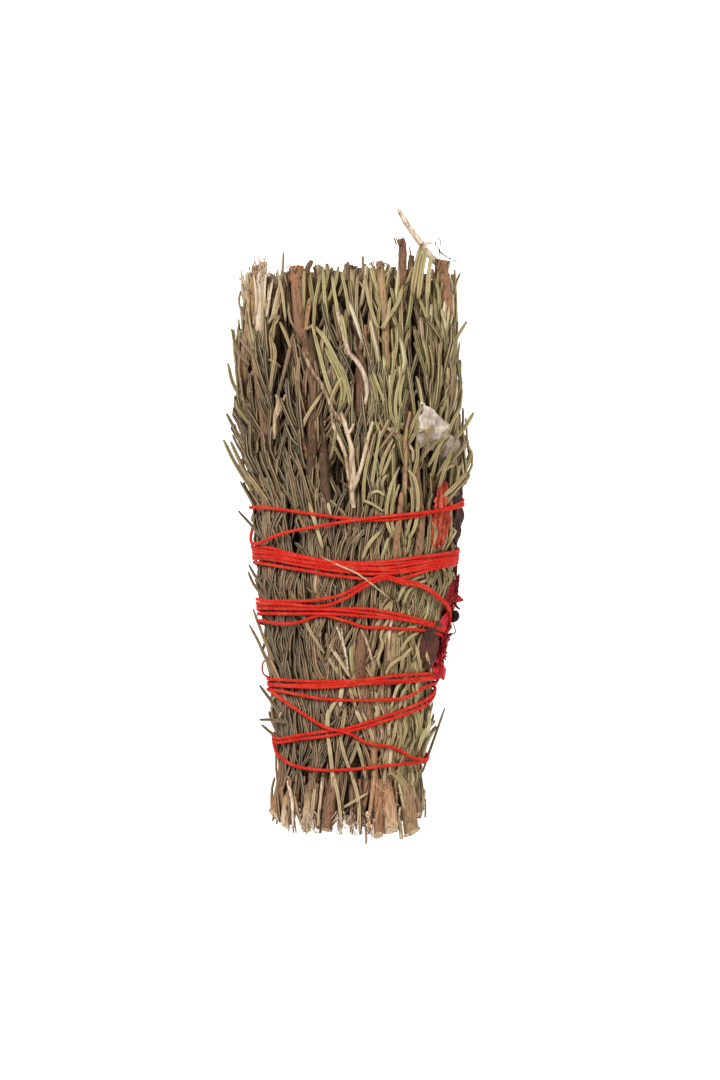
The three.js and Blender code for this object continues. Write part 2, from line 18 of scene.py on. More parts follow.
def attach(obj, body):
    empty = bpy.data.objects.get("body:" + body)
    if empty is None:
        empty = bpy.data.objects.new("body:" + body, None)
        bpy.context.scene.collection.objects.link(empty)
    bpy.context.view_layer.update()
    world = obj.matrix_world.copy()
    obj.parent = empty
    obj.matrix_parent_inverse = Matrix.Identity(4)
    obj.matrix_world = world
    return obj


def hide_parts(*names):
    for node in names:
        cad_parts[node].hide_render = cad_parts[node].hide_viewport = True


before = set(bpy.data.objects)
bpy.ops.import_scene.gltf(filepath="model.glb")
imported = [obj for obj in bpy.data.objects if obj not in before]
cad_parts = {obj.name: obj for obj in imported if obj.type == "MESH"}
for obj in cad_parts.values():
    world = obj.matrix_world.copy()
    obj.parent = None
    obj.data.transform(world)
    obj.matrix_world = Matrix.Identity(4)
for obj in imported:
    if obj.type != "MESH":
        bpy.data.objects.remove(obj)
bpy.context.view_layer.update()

log = logging.getLogger("smudge_stick")

Array = np.ndarray
Colour = tuple[float, float, float, float]
Point = tuple[float, float]
Place = tuple[float, float, float]
Table = tuple[Point, ...]
Materials = Sequence[bpy.types.Material]
# Gives the places and the ways out of points in a sheet's plane
Lay = Callable[[Array], tuple[Array, Array]]

MM = 0.001
# The row's origin is under the middle of the bounding box, which stands off the bundle's own axis
ORIGIN_SHIFT = (-0.516, -0.096, 0.0)
HEAD_Y = 64.25
FOOT_Y = -77.0
# Below the first y the thread holds the sprigs, and above the second they are free
HELD_BELOW, FREE_ABOVE = 8.0, 26.0
ANY_PHASE = (0, 6.28)


def paint(code: str) -> Colour:
    """A colour written as six hex digits, as the linear values that nodes take.

    Args:
        code: the colour, such as "8a7a50".

    Returns:
        Red, green, blue and alpha.
    """
    parts = [int(code[i : i + 2], 16) / 255 for i in (0, 2, 4)]
    linear = [c / 12.92 if c <= 0.04045 else ((c + 0.055) / 1.055) ** 2.4 for c in parts]
    return (linear[0], linear[1], linear[2], 1.0)


def ramp_between(value: Array, low: float, high: float) -> Array:
    """How far a value has come from low to high, held between 0 and 1."""
    return np.clip((value - low) / (high - low), 0.0, 1.0)


def unit(vectors: Array) -> Array:
    """The vectors along the last axis, each made one long."""
    return vectors / np.maximum(np.linalg.norm(vectors, axis=-1, keepdims=True), 1e-9)


def read_off(table: Sequence[Sequence[float]], at: Array) -> Array:
    """The second column of a table at values of its first."""
    return np.interp(at, *np.array(table).T)


def spread_over(count: int, values: Sequence[float]) -> Array:
    """A few values spread evenly over a number of points, with straight runs between them."""
    return np.interp(np.linspace(0, 1, count), np.linspace(0, 1, len(values)), values)


def run_along(line: Array) -> Array:
    """The distance along each line, of rows of x, y and z, at each of its points."""
    steps = np.linalg.norm(np.diff(line, axis=-2), axis=-1)
    return np.concatenate([np.zeros((*steps.shape[:-1], 1)), np.cumsum(steps, axis=-1)], axis=-1)


def smooth_through(points: Array, count: int) -> Array:
    """Points spread evenly by number along a smooth curve through the given ones.

    Args:
        points: rows of x, y and z.
        count: how many to return.

    Returns:
        Rows of x, y and z.
    """
    padded = np.concatenate([points[:1] * 2 - points[1:2], points, points[-1:] * 2 - points[-2:-1]])
    s = np.linspace(0, len(points) - 1 - 1e-6, count)
    i = s.astype(int)
    t = (s - i)[:, None]
    a, b, c, d = (padded[i + k] for k in range(4))
    return 0.5 * (
        2 * b + (c - a) * t + (2 * a - 5 * b + 4 * c - d) * t**2 + (3 * b - a - 3 * c + d) * t**3
    )


# The bundle's form


@dataclass(frozen=True)
class Bundle:
    """The bundle's outline, in which everything else is placed.

    Args:
        stations: y, half the width and the middle's x, from foot to head.
        depth_share: thickness over width.
    """

    stations: tuple[Place, ...] = (
        (-77, 19.2, 0.2), (-66, 18.9, 0.4), (-56, 19.6, 0.8), (-39.5, 21.2, 1.0), (-21, 24.4, 1.6),
        (-7, 25.8, 1.9), (4, 26.8, 2.2), (20, 27.6, 1.2), (45, 27.8, -0.4), (64.25, 26.8, 0.2),
    )
    depth_share: float = 0.72

    def outline(self, y: Array) -> tuple[Array, Array, Array]:
        """The bundle's section at each y.

        Args:
            y: places along the bundle.

        Returns:
            Half the width, half the thickness and the middle's x.
        """
        table = np.array(self.stations)
        wide = np.interp(y, table[:, 0], table[:, 1])
        off = np.interp(y, table[:, 0], table[:, 2])
        return wide, wide * self.depth_share, off

    def place(self, angle: Array, share: Array, y: Array) -> Array:
        """Points of the bundle.

        Args:
            angle: direction from +X, in radians.
            share: share of the way from the middle to the outside.
            y: place along the bundle.

        Returns:
            An array of points, one row of x, y and z for each.
        """
        wide, deep, off = self.outline(y)
        x = off + wide * share * np.cos(angle)
        z = deep + deep * share * np.sin(angle)
        return np.stack(np.broadcast_arrays(x, y, z), axis=-1)

    def read(self, points: Array) -> tuple[Array, Array]:
        """Where points lie, which undoes place.

        Args:
            points: rows of x, y and z.

        Returns:
            The direction in radians and the share of the way out of each.
        """
        wide, deep, off = self.outline(points[..., 1])
        u = (points[..., 0] - off) / wide
        v = (points[..., 2] - deep) / deep
        return np.arctan2(v, u), np.hypot(u, v)

    def outward(self, angle: Array) -> Array:
        """The way out of the bundle's surface in each direction."""
        x = np.cos(angle)
        return unit(np.stack([x, np.zeros_like(x), np.sin(angle) / self.depth_share], axis=-1))

    def on_face(self, x: Array, y: Array, share: Array) -> Array:
        """Points on the face that looks up.

        Args:
            x: place across the bundle.
            y: place along it.
            share: share of the way out.

        Returns:
            Rows of x, y and z.
        """
        wide, deep, off = self.outline(y)
        u = (x - off) / wide
        v = np.sqrt(np.maximum(share * share - u * u, 0.0))
        return np.stack(np.broadcast_arrays(x, y, deep + deep * v), axis=-1)


BUNDLE = Bundle()


def looseness(y: Array) -> Array:
    """0 where the thread holds the sprigs, and 1 where they are free."""
    return ramp_between(np.asarray(y, dtype=float), HELD_BELOW, FREE_ABOVE)


# The thread's route


@dataclass(frozen=True)
class Winding:
    """Some turns of thread side by side.

    Args:
        turns: how many.
        left: y at the left edge.
        points: x and y of their middle on the face that looks up, by rising x.
        right: y at the right edge.
        over: 1 where they lie on top of others, otherwise 0.
        pitch: distance from one turn to the next.
    """

    turns: int
    left: float
    points: Table
    right: float
    over: float = 0.0
    pitch: float = 0.72


@dataclass(frozen=True)
class ThreadRoute:
    """The whole way of the one thread, from its foot end to its head end.

    Args:
        seat: share of the way out at which it lies.
        step_over: what that gains where it lies over other turns.
        uneven: how much its y varies.
        lowest: no part of it lies below this height.
        start: direction in degrees and y of its foot end.
        finish: the same of its head end.
        windings: its turns over the face that looks up.
    """

    seat: float = 1.0
    step_over: float = 0.05
    uneven: float = 0.17
    lowest: float = 0.5
    start: Point = (245, -53)
    finish: Point = (-62, 7.6)
    windings: tuple[Winding, ...] = (
        Winding(1, -54.4, ((-18.2, -56.7), (-16.2, -58.7), (-12.2, -60.3), (-5.8, -60.7),
            (3.5, -60.5), (10.2, -59.7)), -58.6),
        Winding(2, -53.3, ((-17.3, -54), (-11.2, -52.6), (-5.2, -51.4), (-1.2, -50.9), (4.5, -49.3),
            (10.8, -47.4), (18.4, -44.6)), -41.6, pitch=0.85),
        Winding(1, -41, ((-17.8, -41.6), (-14.5, -44), (-9.8, -47), (-5.5, -49.7), (0.8, -51.7),
            (3.8, -53.7), (10.8, -55.3), (15.5, -57.7)), -58, 1),
        Winding(1, -41.3, ((-16.8, -41.3), (-11.8, -42), (-5.8, -43), (-0.8, -43.2), (7.5, -43.3),
            (14.75, -42.3), (18.2, -40.75)), -39.6),
        Winding(3, -39.3, ((-18.6, -39.4), (-4.5, -39.3), (5.5, -38.4), (10.75, -38.1),
            (19.5, -37.6)), -37.4),
        Winding(1, -24, ((-21.75, -23.7), (-11.2, -23.5), (-7, -21.9), (-1.2, -22.9), (3.75, -24.6),
            (9.25, -24.9), (20, -25.9)), -28.2),
        Winding(3, -20.9, ((-15, -20.7), (-2.75, -20.7), (4.5, -21.2), (11, -22.3), (20, -24.4)),
            -26.6, pitch=0.76),
        Winding(1, -19.2, ((-15, -19.1), (-3.5, -19), (-1, -17.9), (4.5, -14.6), (7.75, -13),
            (13.4, -14.2), (16.3, -14.8), (22.4, -19)), -25.2, 0.8),
        Winding(1, -18.3, ((-15, -18.3), (-5, -18.2), (-1.5, -16.9), (4, -13.8), (7.75, -12.3),
            (13.4, -13.4), (16.3, -14), (22.4, -18.2)), -24.2, 0.8),
        Winding(1, -8.9, ((-12, -10.3), (-2.75, -11.9), (7.75, -12.9), (12, -12.4), (19.8, -10.4)),
            -8.9, 0.3),
        Winding(2, -7.6, ((-18, -7.8), (-12, -9.1), (-2.75, -10.6), (7.5, -11.2), (11.75, -11.1),
            (19.75, -9.6)), -8),
        Winding(3, -5.6, ((-18.3, -6.2), (-12, -7.6), (-2.75, -9), (9.25, -9.3), (17.5, -8.4)),
            -6.3),
        Winding(1, -1, ((-23.2, -4), (-21.5, -3.7), (-14.9, -1.65), (-6.8, 0), (-1.15, 1.3),
            (6.5, 2), (16.6, 3.3)), 5.8, 0.5),
        Winding(1, 4.75, ((-19, 4.4), (-7.6, 3), (-0.35, 1.9), (6.5, 1.5), (16.6, 2.7), (22.7, 4)),
            6.8),
    )

    def table(self) -> Array:
        """The knots of the route.

        Returns:
            Rows of direction in degrees, y and how far it lies over other turns.
        """
        rng = np.random.default_rng(31)
        turns = [
            (w, (k - (w.turns - 1) / 2) * w.pitch) for w in self.windings for k in range(w.turns)
        ]
        rows = [(self.start[0], self.start[1], 0.0)]
        for number, (winding, shift) in enumerate(turns):
            back = 360 * number
            x, y = np.array(winding.points).T
            wide, _, off = BUNDLE.outline(y)
            degrees = np.degrees(np.arccos(np.clip((x - off) / (wide * self.seat), -0.97, 0.97)))
            y = y + shift + rng.normal(0, self.uneven, len(y))
            over = winding.over + rng.uniform(0, 0.6, len(y))
            rows.append((180 - back, winding.left + shift, 0.0))
            rows.extend(zip(degrees - back, y, over))
            rows.append((-back, winding.right + shift, 0.0))
            if number + 1 < len(turns):
                after, step = turns[number + 1]
                half = (winding.right + shift + after.left + step) / 2
                rows.append((-90 - back, half + rng.normal(0, 0.5), 0.0))
        rows.append((self.finish[0] - 360 * (len(turns) - 1), self.finish[1], 0.0))
        return np.array(rows)

    def run(self, degrees: Array) -> tuple[Array, Array]:
        """The thread's y and how far it lies over, at directions along the route.

        Args:
            degrees: directions, counted down from the start through every turn.

        Returns:
            y, and 0 to 1 for how far it lies over other turns.
        """
        table = self.table()
        knots, heights = table[:, 0], table[:, 1:]
        spans = (knots[:-1] - knots[1:])[:, None]
        steep = np.diff(heights, axis=0) / spans
        slope = np.concatenate([steep[:1], steep[:1], steep[1:]])
        inner = (spans[1:] * steep[:-1] + spans[:-1] * steep[1:]) / (spans[1:] + spans[:-1])
        slope[1:-1] = inner
        i = np.clip(np.searchsorted(-knots, -degrees, side="right") - 1, 0, len(table) - 2)
        span = spans[i]
        t = np.clip((knots[i] - degrees)[:, None] / span, 0, 1)
        values = (
            (2 * t**3 - 3 * t**2 + 1) * heights[i]
            + (t**3 - 2 * t**2 + t) * slope[i] * span
            + (3 * t**2 - 2 * t**3) * heights[i + 1]
            + (t**3 - t**2) * slope[i + 1] * span
        )
        return values[:, 0], np.clip(values[:, 1], 0, 1.2)

    def crossings(self) -> Array:
        """Finds where the thread passes.

        Returns:
            For each whole degree round the bundle, the y of every pass there.
        """
        table = self.table()
        turns = sum(w.turns for w in self.windings)
        grid = np.full((360, turns + 1), 1e6)
        for k in range(turns + 1):
            degrees = np.arange(-180, 180) - 360.0 * k + 360.0
            inside = (degrees <= table[0, 0]) & (degrees >= table[-1, 0])
            if inside.any():
                grid[inside, k] = self.run(degrees[inside])[0]
        return grid


ROUTE = ThreadRoute()


@dataclass(frozen=True)
class Press:
    """How far out a needle may stand, which the thread decides.

    Args:
        crossings: for each whole degree, the y of every pass of the thread.
        under: share of the way out under the thread.
        grip: distance from a strand within which a needle is held down.
        rise: share gained for each millimetre beyond that.
    """

    crossings: Array
    under: float = 0.965
    grip: float = 0.7
    rise: float = 0.017

    def cap(self, angle: Array, y: Array) -> Array:
        """The share of the way out at which the thread holds needles down.

        Args:
            angle: direction from +X, in radians.
            y: place along the bundle.

        Returns:
            The share at each place.
        """
        row = (np.round(np.degrees(angle)).astype(int) + 180) % 360
        apart = np.abs(self.crossings[row] - y[..., None]).min(axis=-1)
        return self.under + self.rise * np.maximum(apart - self.grip, 0.0)


PRESS = Press(ROUTE.crossings())


# Meshes


def add_to_scene(name: str, data: bpy.types.ID) -> bpy.types.Object:
    """Makes an object of a mesh, a camera or a lamp.

    Args:
        name: the object's name.
        data: what it holds.

    Returns:
        The new object, linked to the scene.
    """
    made = bpy.data.objects.new(name, data)
    bpy.context.scene.collection.objects.link(made)
    return made


@dataclass
class Skin:
    """The faces of one piece as they are gathered, before they become a mesh.

    Args:
        points: rows of x, y and z.
        faces: pairs of corner numbers, one row a face, and a material's number.
        marks: for each of NAMES, a value for each point.
        count: how many points there are.
    """

    points: list[Array] = field(default_factory=list)
    faces: list[tuple[Array, int]] = field(default_factory=list)
    marks: dict[str, list[Array]] = field(default_factory=dict)
    count: int = 0

    NAMES = ("tone", "along", "across", "green")

    def add(self, points: Array, faces: Sequence[tuple[Array, int]], **marks: Array) -> None:
        """Adds faces.

        Args:
            points: rows of x, y and z.
            faces: pairs of an array of corner numbers, one row a face, and a material's number.
            marks: a value for each point under each of NAMES.
        """
        for corners, material in faces:
            self.faces.append((corners + self.count, material))
        self.points.append(points)
        for name in self.NAMES:
            given = np.broadcast_to(marks.get(name, 0.0), (len(points),))
            self.marks.setdefault(name, []).append(given)
        self.count += len(points)

    def build(self, name: str, materials: Materials) -> bpy.types.Object:
        """Makes the mesh and its object.

        Args:
            name: the object's name.
            materials: the materials that the faces' numbers stand for.

        Returns:
            The new object, linked to the scene.
        """
        points = (np.concatenate(self.points) + np.array(ORIGIN_SHIFT)) * MM
        corners = np.concatenate([faces.ravel() for faces, _ in self.faces])
        sizes = np.concatenate([np.full(len(f), f.shape[1]) for f, _ in self.faces])
        slots = np.concatenate([np.full(len(f), int(m)) for f, m in self.faces])
        starts = np.concatenate([[0], np.cumsum(sizes)[:-1]])
        mesh = bpy.data.meshes.new(name)
        mesh.vertices.add(len(points))
        mesh.vertices.foreach_set("co", points.astype(np.float32).ravel())
        mesh.loops.add(len(corners))
        mesh.loops.foreach_set("vertex_index", corners.astype(np.int32))
        mesh.polygons.add(len(sizes))
        mesh.polygons.foreach_set("loop_start", starts.astype(np.int32))
        mesh.polygons.foreach_set("material_index", slots.astype(np.int32))
        mesh.polygons.foreach_set("use_smooth", np.ones(len(sizes), dtype=bool))
        for key, parts in self.marks.items():
            layer = mesh.attributes.new(key, "FLOAT", "POINT")
            layer.data.foreach_set("value", np.concatenate(parts).astype(np.float32))
        mesh.update(calc_edges=True)
        mesh.validate()
        for material in materials:
            mesh.materials.append(material)
        return add_to_scene(name, mesh)


def ring_quads(number: Array) -> Array:
    """Gives the faces between neighbouring rings, of one tube or of many.

    Args:
        number: the corners' numbers, one row for each ring.

    Returns:
        Rows of four numbers.
    """
    after = np.roll(number, -1, axis=-1)
    corners = [number[..., :-1, :], after[..., :-1, :], after[..., 1:, :], number[..., 1:, :]]
    return np.stack(corners, axis=-1).reshape(-1, 4)


def tubes(
    skin: Skin,
    middles: Array,
    ups: Array,
    half_width: Array,
    half_height: Array,
    section: Array,
    tone: Array,
    material: int = 0,
    ends: tuple[int, int] = (0, 0),
    green: Union[Array, float] = 0.0,
    along: Union[Array, None] = None,
    slant: Point = (0.0, 0.0),
) -> None:
    """Adds many tubes with the same number of rings.

    Args:
        skin: where the faces go.
        middles: for each tube, the middle of each ring.
        ups: for each ring, roughly which way the section's upper side faces.
        half_width: for each ring.
        half_height: for each ring.
        section: the section's corners, x and z from -1 to 1.
        tone: one value for each tube, or for each ring of each tube.
        material: number of the side's material.
        ends: numbers of the materials of the first and the last end.
        green: how green each tube is, as one value for all, for each, or for each ring.
        along: for each ring, how far along it is, when that isn't even from 0 to 1.
        slant: how far the upper side is cut back at the first and the last end, over its height.
    """
    count, rings, _ = middles.shape
    corners = len(section)
    shape = (count, rings, corners)
    tangent = unit(np.gradient(middles, axis=1))
    side = unit(np.cross(tangent, ups))
    up = np.cross(side, tangent)
    points = (
        middles[:, :, None, :]
        + side[:, :, None, :] * (half_width[..., None] * section[:, 0])[..., None]
        + up[:, :, None, :] * (half_height[..., None] * section[:, 1])[..., None]
    )
    run = run_along(middles)
    for end, back, gone, way in ((0, slant[0], run, 1), (-1, slant[1], run[:, -1:] - run, -1)):
        reach = back * half_height[:, end, None] * (1 + section[:, 1])
        shift = np.maximum(reach[:, None] - gone[..., None], 0)
        points += way * tangent[:, :, None] * shift[..., None]
    number = np.arange(count * rings * corners).reshape(shape)
    tone = np.broadcast_to(tone if tone.ndim == 2 else tone[:, None], (count, rings))
    along = np.linspace(0, 1, rings)[None] if along is None else along
    green = np.asarray(green, dtype=float)
    green = green[:, :, None] if green.ndim == 2 else np.reshape(green, (-1, 1, 1))
    closed = [(ring, end) for ring, end in ((0, ends[0]), (-1, ends[1])) if end == material]
    caps = [(number[:, ring, :: -1 if ring == 0 else 1], end) for ring, end in closed]
    skin.add(
        points.reshape(-1, 3),
        [(ring_quads(number), material), *caps],
        tone=np.broadcast_to(tone[:, :, None], shape).ravel(),
        along=np.broadcast_to(along[:, :, None], shape).ravel(),
        across=np.broadcast_to(section[None, None, :, 0], shape).ravel(),
        green=np.broadcast_to(green, shape).ravel(),
    )
    for ring, end in ((0, ends[0]), (-1, ends[1])):
        if end != material:
            rims = points[:, ring] if ring else points[:, ring, ::-1]
            for rim, shade in zip(rims, tone[:, ring]):
                add_cut(skin, rim, end, shade)


def add_tube(
    skin: Skin,
    line: Array,
    radius: Union[Array, float],
    section: Array,
    tone: Union[Array, float],
    material: int = 0,
    ends: tuple[int, int] = (0, 0),
    up: Union[Array, Place] = (0.0, 0.0, 1.0),
    flat: float = 1.0,
    green: Union[Array, float] = 0.0,
    slant: Point = (0.0, 0.0),
) -> None:
    """Adds one tube. Radius, tone, up and green are one value, or one for each ring.

    Args:
        skin: where the faces go.
        line: the middle of each ring.
        radius: half the width.
        section: the section's corners, x and z from -1 to 1.
        tone: 0 for dark to 1 for pale.
        material: number of the side's material.
        ends: numbers of the materials of the first and the last end.
        up: roughly which way the section's upper side faces.
        flat: height over width.
        green: how green it is.
        slant: how far the upper side is cut back at the first and the last end, over its height.
    """
    rings = (1, len(line))
    radius, tone, green = (np.broadcast_to(v, rings) for v in (radius, tone, green))
    ups = np.broadcast_to(up, (*rings, 3))
    tubes(
        skin, line[None], ups, radius, radius * flat, section, tone, material, ends, green,
        slant=slant,
    )


def add_cut(skin: Skin, rim: Array, material: int, tone: float) -> None:
    """Adds a cut face, with how far each point is from its middle.

    Args:
        skin: where the faces go.
        rim: the corners, in the order in which the face looks out.
        material: the face's material.
        tone: 0 for dark to 1 for pale.
    """
    corners = len(rim)
    around = np.arange(corners)
    fan = np.stack([np.full(corners, corners), around, (around + 1) % corners], axis=-1)
    points = np.concatenate([rim, rim.mean(axis=0, keepdims=True)])
    skin.add(points, [(fan, material)], across=np.append(np.ones(corners), 0.0), tone=tone)


def round_section(corners: int) -> Array:
    """The corners of a round section."""
    turn = np.arange(corners) / corners * 2 * math.pi
    return np.stack([np.sin(turn), np.cos(turn)], axis=-1)


def rough_section(rng: np.random.Generator, corners: int, uneven: float) -> Array:
    """The corners of a round section, each a little in or out."""
    return round_section(corners) * (1 + uneven * rng.standard_normal((corners, 1)))


# A dried needle's section: rolled edges on both sides of a furrow, flat below
NEEDLE_SECTION = np.array([(-1, -0.5), (-0.62, 0.7), (0.0, 0.34), (0.62, 0.7), (1, -0.5)])
PLAIN_NEEDLE_SECTION = np.array([(-1, 0.1), (0, 0.9), (1, 0.1), (0, -0.8)])


# Shader maths


class Val:
    """A number socket that takes part in Python arithmetic by adding Math nodes."""

    def __init__(self, graph: "Graph", socket: bpy.types.NodeSocket) -> None:
        """Keeps the socket and the graph that it belongs to."""
        self.graph = graph
        self.socket = socket

    def _math(self, operation: str, *values: "Number") -> "Val":
        """The result of a Math node on these values."""
        node = self.graph.node("ShaderNodeMath", {"operation": operation}, dict(enumerate(values)))
        return Val(self.graph, node.outputs[0])

    def __add__(self, other: "Number") -> "Val":
        """self + other."""
        return self._math("ADD", self, other)

    def __radd__(self, other: "Number") -> "Val":
        """other + self."""
        return self._math("ADD", other, self)

    def __sub__(self, other: "Number") -> "Val":
        """self - other."""
        return self._math("SUBTRACT", self, other)

    def __rsub__(self, other: "Number") -> "Val":
        """other - self."""
        return self._math("SUBTRACT", other, self)

    def __mul__(self, other: "Number") -> "Val":
        """self * other."""
        return self._math("MULTIPLY", self, other)

    def __rmul__(self, other: "Number") -> "Val":
        """other * self."""
        return self._math("MULTIPLY", other, self)

    def absolute(self) -> "Val":
        """The value without its sign."""
        return self._math("ABSOLUTE", self)

    def sine(self) -> "Val":
        """The sine of the value in radians."""
        return self._math("SINE", self)

    def between(self, low: float, high: float) -> "Val":
        """Makes a smooth step of the value.

        Args:
            low: where the step is 0.
            high: where it reaches 1.

        Returns:
            The step.
        """
        node = self.graph.node(
            "ShaderNodeMapRange",
            {"interpolation_type": "SMOOTHSTEP"},
            {"Value": self, "From Min": low, "From Max": high},
        )
        return Val(self.graph, node.outputs[0])


Number = Union[Val, float]
# A string is a colour's six hex digits
Input = Union[Val, float, str, Sequence[float], bpy.types.NodeSocket]
Stops = Sequence[tuple[float, str]]


class Graph:
    """A material's nodes, made by name with their settings and links."""

    def __init__(self, name: str) -> None:
        """Makes a material that holds only its output.

        Args:
            name: the material's name.
        """
        self.material = bpy.data.materials.new(name)
        self.material.use_nodes = True
        self.tree = self.material.node_tree
        self.tree.nodes.clear()
        self.output = self.tree.nodes.new("ShaderNodeOutputMaterial")
        self._place: Union[bpy.types.NodeSocket, None] = None

    def node(
        self, kind: str, settings: dict[str, object], inputs: dict[Union[str, int], Input]
    ) -> bpy.types.Node:
        """Adds a node.

        Args:
            kind: the node's type.
            settings: its properties, and stops for a ramp's positions and colours.
            inputs: a value or a link for each socket, by name or number.

        Returns:
            The node.
        """
        made = self.tree.nodes.new(kind)
        for key, value in settings.items():
            if key == "stops":
                self._set_stops(made.color_ramp, value)
            else:
                setattr(made, key, value)
        for key, value in inputs.items():
            socket = made.inputs[key]
            if isinstance(value, Val):
                self.tree.links.new(value.socket, socket)
            elif isinstance(value, bpy.types.NodeSocket):
                self.tree.links.new(value, socket)
            else:
                socket.default_value = paint(value) if isinstance(value, str) else value
        return made

    @staticmethod
    def _set_stops(ramp: bpy.types.ColorRamp, stops: Stops) -> None:
        """Gives a colour ramp its stops.

        Args:
            ramp: the ramp.
            stops: positions and colours.
        """
        while len(ramp.elements) < len(stops):
            ramp.elements.new(1.0)
        for element, (position, code) in zip(ramp.elements, stops):
            element.position = position
            element.color = paint(code)

    def mark(self, name: str) -> Val:
        """A value that the mesh carries at each point."""
        node = self.node("ShaderNodeAttribute", {"attribute_name": name}, {})
        return Val(self, node.outputs["Fac"])

    def place(self) -> bpy.types.NodeSocket:
        """Gives the point of the surface in the row's frame.

        Returns:
            The socket that carries it.
        """
        if self._place is None:
            self._place = self.node("ShaderNodeTexCoord", {}, {}).outputs["Object"]
        return self._place

    def stretched(self, across: float, along: float) -> bpy.types.NodeSocket:
        """Stretches the place, for grain that runs along the bundle.

        Args:
            across: factor across the bundle.
            along: factor along it.

        Returns:
            The socket that carries the new place.
        """
        factors = (across, along, across)
        settings = {"operation": "MULTIPLY"}
        return self.node("ShaderNodeVectorMath", settings, {0: self.place(), 1: factors}).outputs[0]

    def noise(self, per_mm: float, detail: float = 3.0, at: Input = None) -> Val:
        """Smooth noise.

        Args:
            per_mm: how many features to the millimetre.
            detail: how many finer layers it has.
            at: where to read it, if not at the plain place.

        Returns:
            0 to 1, mostly near the middle.
        """
        inputs = {"Vector": at or self.place(), "Scale": per_mm / MM, "Detail": detail}
        return Val(self, self.node("ShaderNodeTexNoise", {}, inputs).outputs["Fac"])

    def ramp(self, value: Val, stops: Stops) -> bpy.types.NodeSocket:
        """The colour that a value has on a ramp."""
        return self.node("ShaderNodeValToRGB", {"stops": stops}, {"Fac": value}).outputs["Color"]

    def mix(self, factor: Number, first: Input, second: Input) -> bpy.types.NodeSocket:
        """Two colours mixed."""
        settings = {"data_type": "RGBA", "blend_type": "MIX"}
        return self.node("ShaderNodeMix", settings, {0: factor, 6: first, 7: second}).outputs[2]

    def bump(self, height: Val, distance: float) -> bpy.types.NodeSocket:
        """A normal raised by a height, with its distance in millimetres."""
        inputs = {"Height": height, "Distance": distance * MM, "Strength": 1.0}
        return self.node("ShaderNodeBump", {}, inputs).outputs["Normal"]

    def finish(
        self, colour: Input, roughness: Number, specular: float = 0.5, **others: Input
    ) -> bpy.types.Material:
        """Ends the graph in a Principled shader.

        Args:
            colour: the base colour.
            roughness: how matt it is.
            specular: how strongly it shines.
            others: the shader's other inputs, with underscores for spaces.

        Returns:
            The material.
        """
        inputs = {"Base Color": colour, "Roughness": roughness, "Specular IOR Level": specular}
        inputs.update((name.replace("_", " "), value) for name, value in others.items())
        shader = self.node("ShaderNodeBsdfPrincipled", {}, inputs)
        self.tree.links.new(shader.outputs[0], self.output.inputs["Surface"])
        return self.material


# Finishes


@dataclass(frozen=True)
class NeedleFinish:
    """Dried needles, from brown to khaki or olive, with a painted highlight along the rolled edges.

    Args:
        name: the material's name.
        dry: colours of a brown needle, from dark to pale.
        olive: the same of a green one.
        rim: painted shade under the rolled edges.
        furrow_shade: painted shade in the furrow.
        ridge_highlight: painted highlight along the ridges beside the furrow.
        tip: colour of worn tips.
        foot: colour at the root.
        speck: colour of small stains.
        roughness: how matt it is.
    """

    name: str = "dried_needle"
    dry: Stops = ((0, "2a1505"), (0.25, "563413"), (0.5, "846140"), (0.75, "b09574"), (1, "dfcab2"))
    olive: Stops = (
        (0, "231b02"), (0.25, "484010"), (0.5, "726c32"), (0.75, "a29c60"), (1, "d2cca2"),
    )
    rim: str = "35260e"
    furrow_shade: str = "3f3010"
    ridge_highlight: str = "d4c4a2"
    tip: str = "4a3a28"
    foot: str = "8c6b47"
    speck: str = "523c1e"
    roughness: float = 0.6

    def build(self) -> bpy.types.Material:
        """Makes the material.

        Returns:
            The new material.
        """
        g = Graph(self.name)
        tone = g.mark("tone") + (g.noise(0.5) - 0.5) * 0.3
        dry, olive = g.ramp(tone, self.dry), g.ramp(tone, self.olive)
        body = g.mix(g.mark("green"), dry, olive)
        across = g.mark("across").absolute()
        # Painted shade under the rolled edges, at the lower outer corners of the section
        body = g.mix(across.between(0.75, 1.0) * 0.25, body, self.rim)
        # Painted shade in the furrow along the middle of the needle
        body = g.mix((1 - across.between(0.0, 0.3)) * 0.4, body, self.furrow_shade)
        # Painted highlight along the ridges of the rolled edges
        ridge_highlight = across.between(0.3, 0.5) - across.between(0.7, 0.9)
        body = g.mix(ridge_highlight * 0.4, body, self.ridge_highlight)
        along = g.mark("along")
        tip = along.between(0.82, 1.0) * g.noise(0.12, 1.0).between(0.45, 0.6)
        body = g.mix(tip * 0.65, body, self.tip)
        body = g.mix((1 - along.between(0.0, 0.2)) * 0.5, body, self.foot)
        body = g.mix(g.noise(3.2, 2.0).between(0.56, 0.72) * 0.4, body, self.speck)
        height = g.noise(2.4, 4.0) + g.noise(7.0, 2.0) * 0.4
        roughness = g.noise(1.1).between(0.2, 0.8) * 0.22 + (self.roughness - 0.11)
        return g.finish(body, roughness, 0.35, Normal=g.bump(height, 0.12))


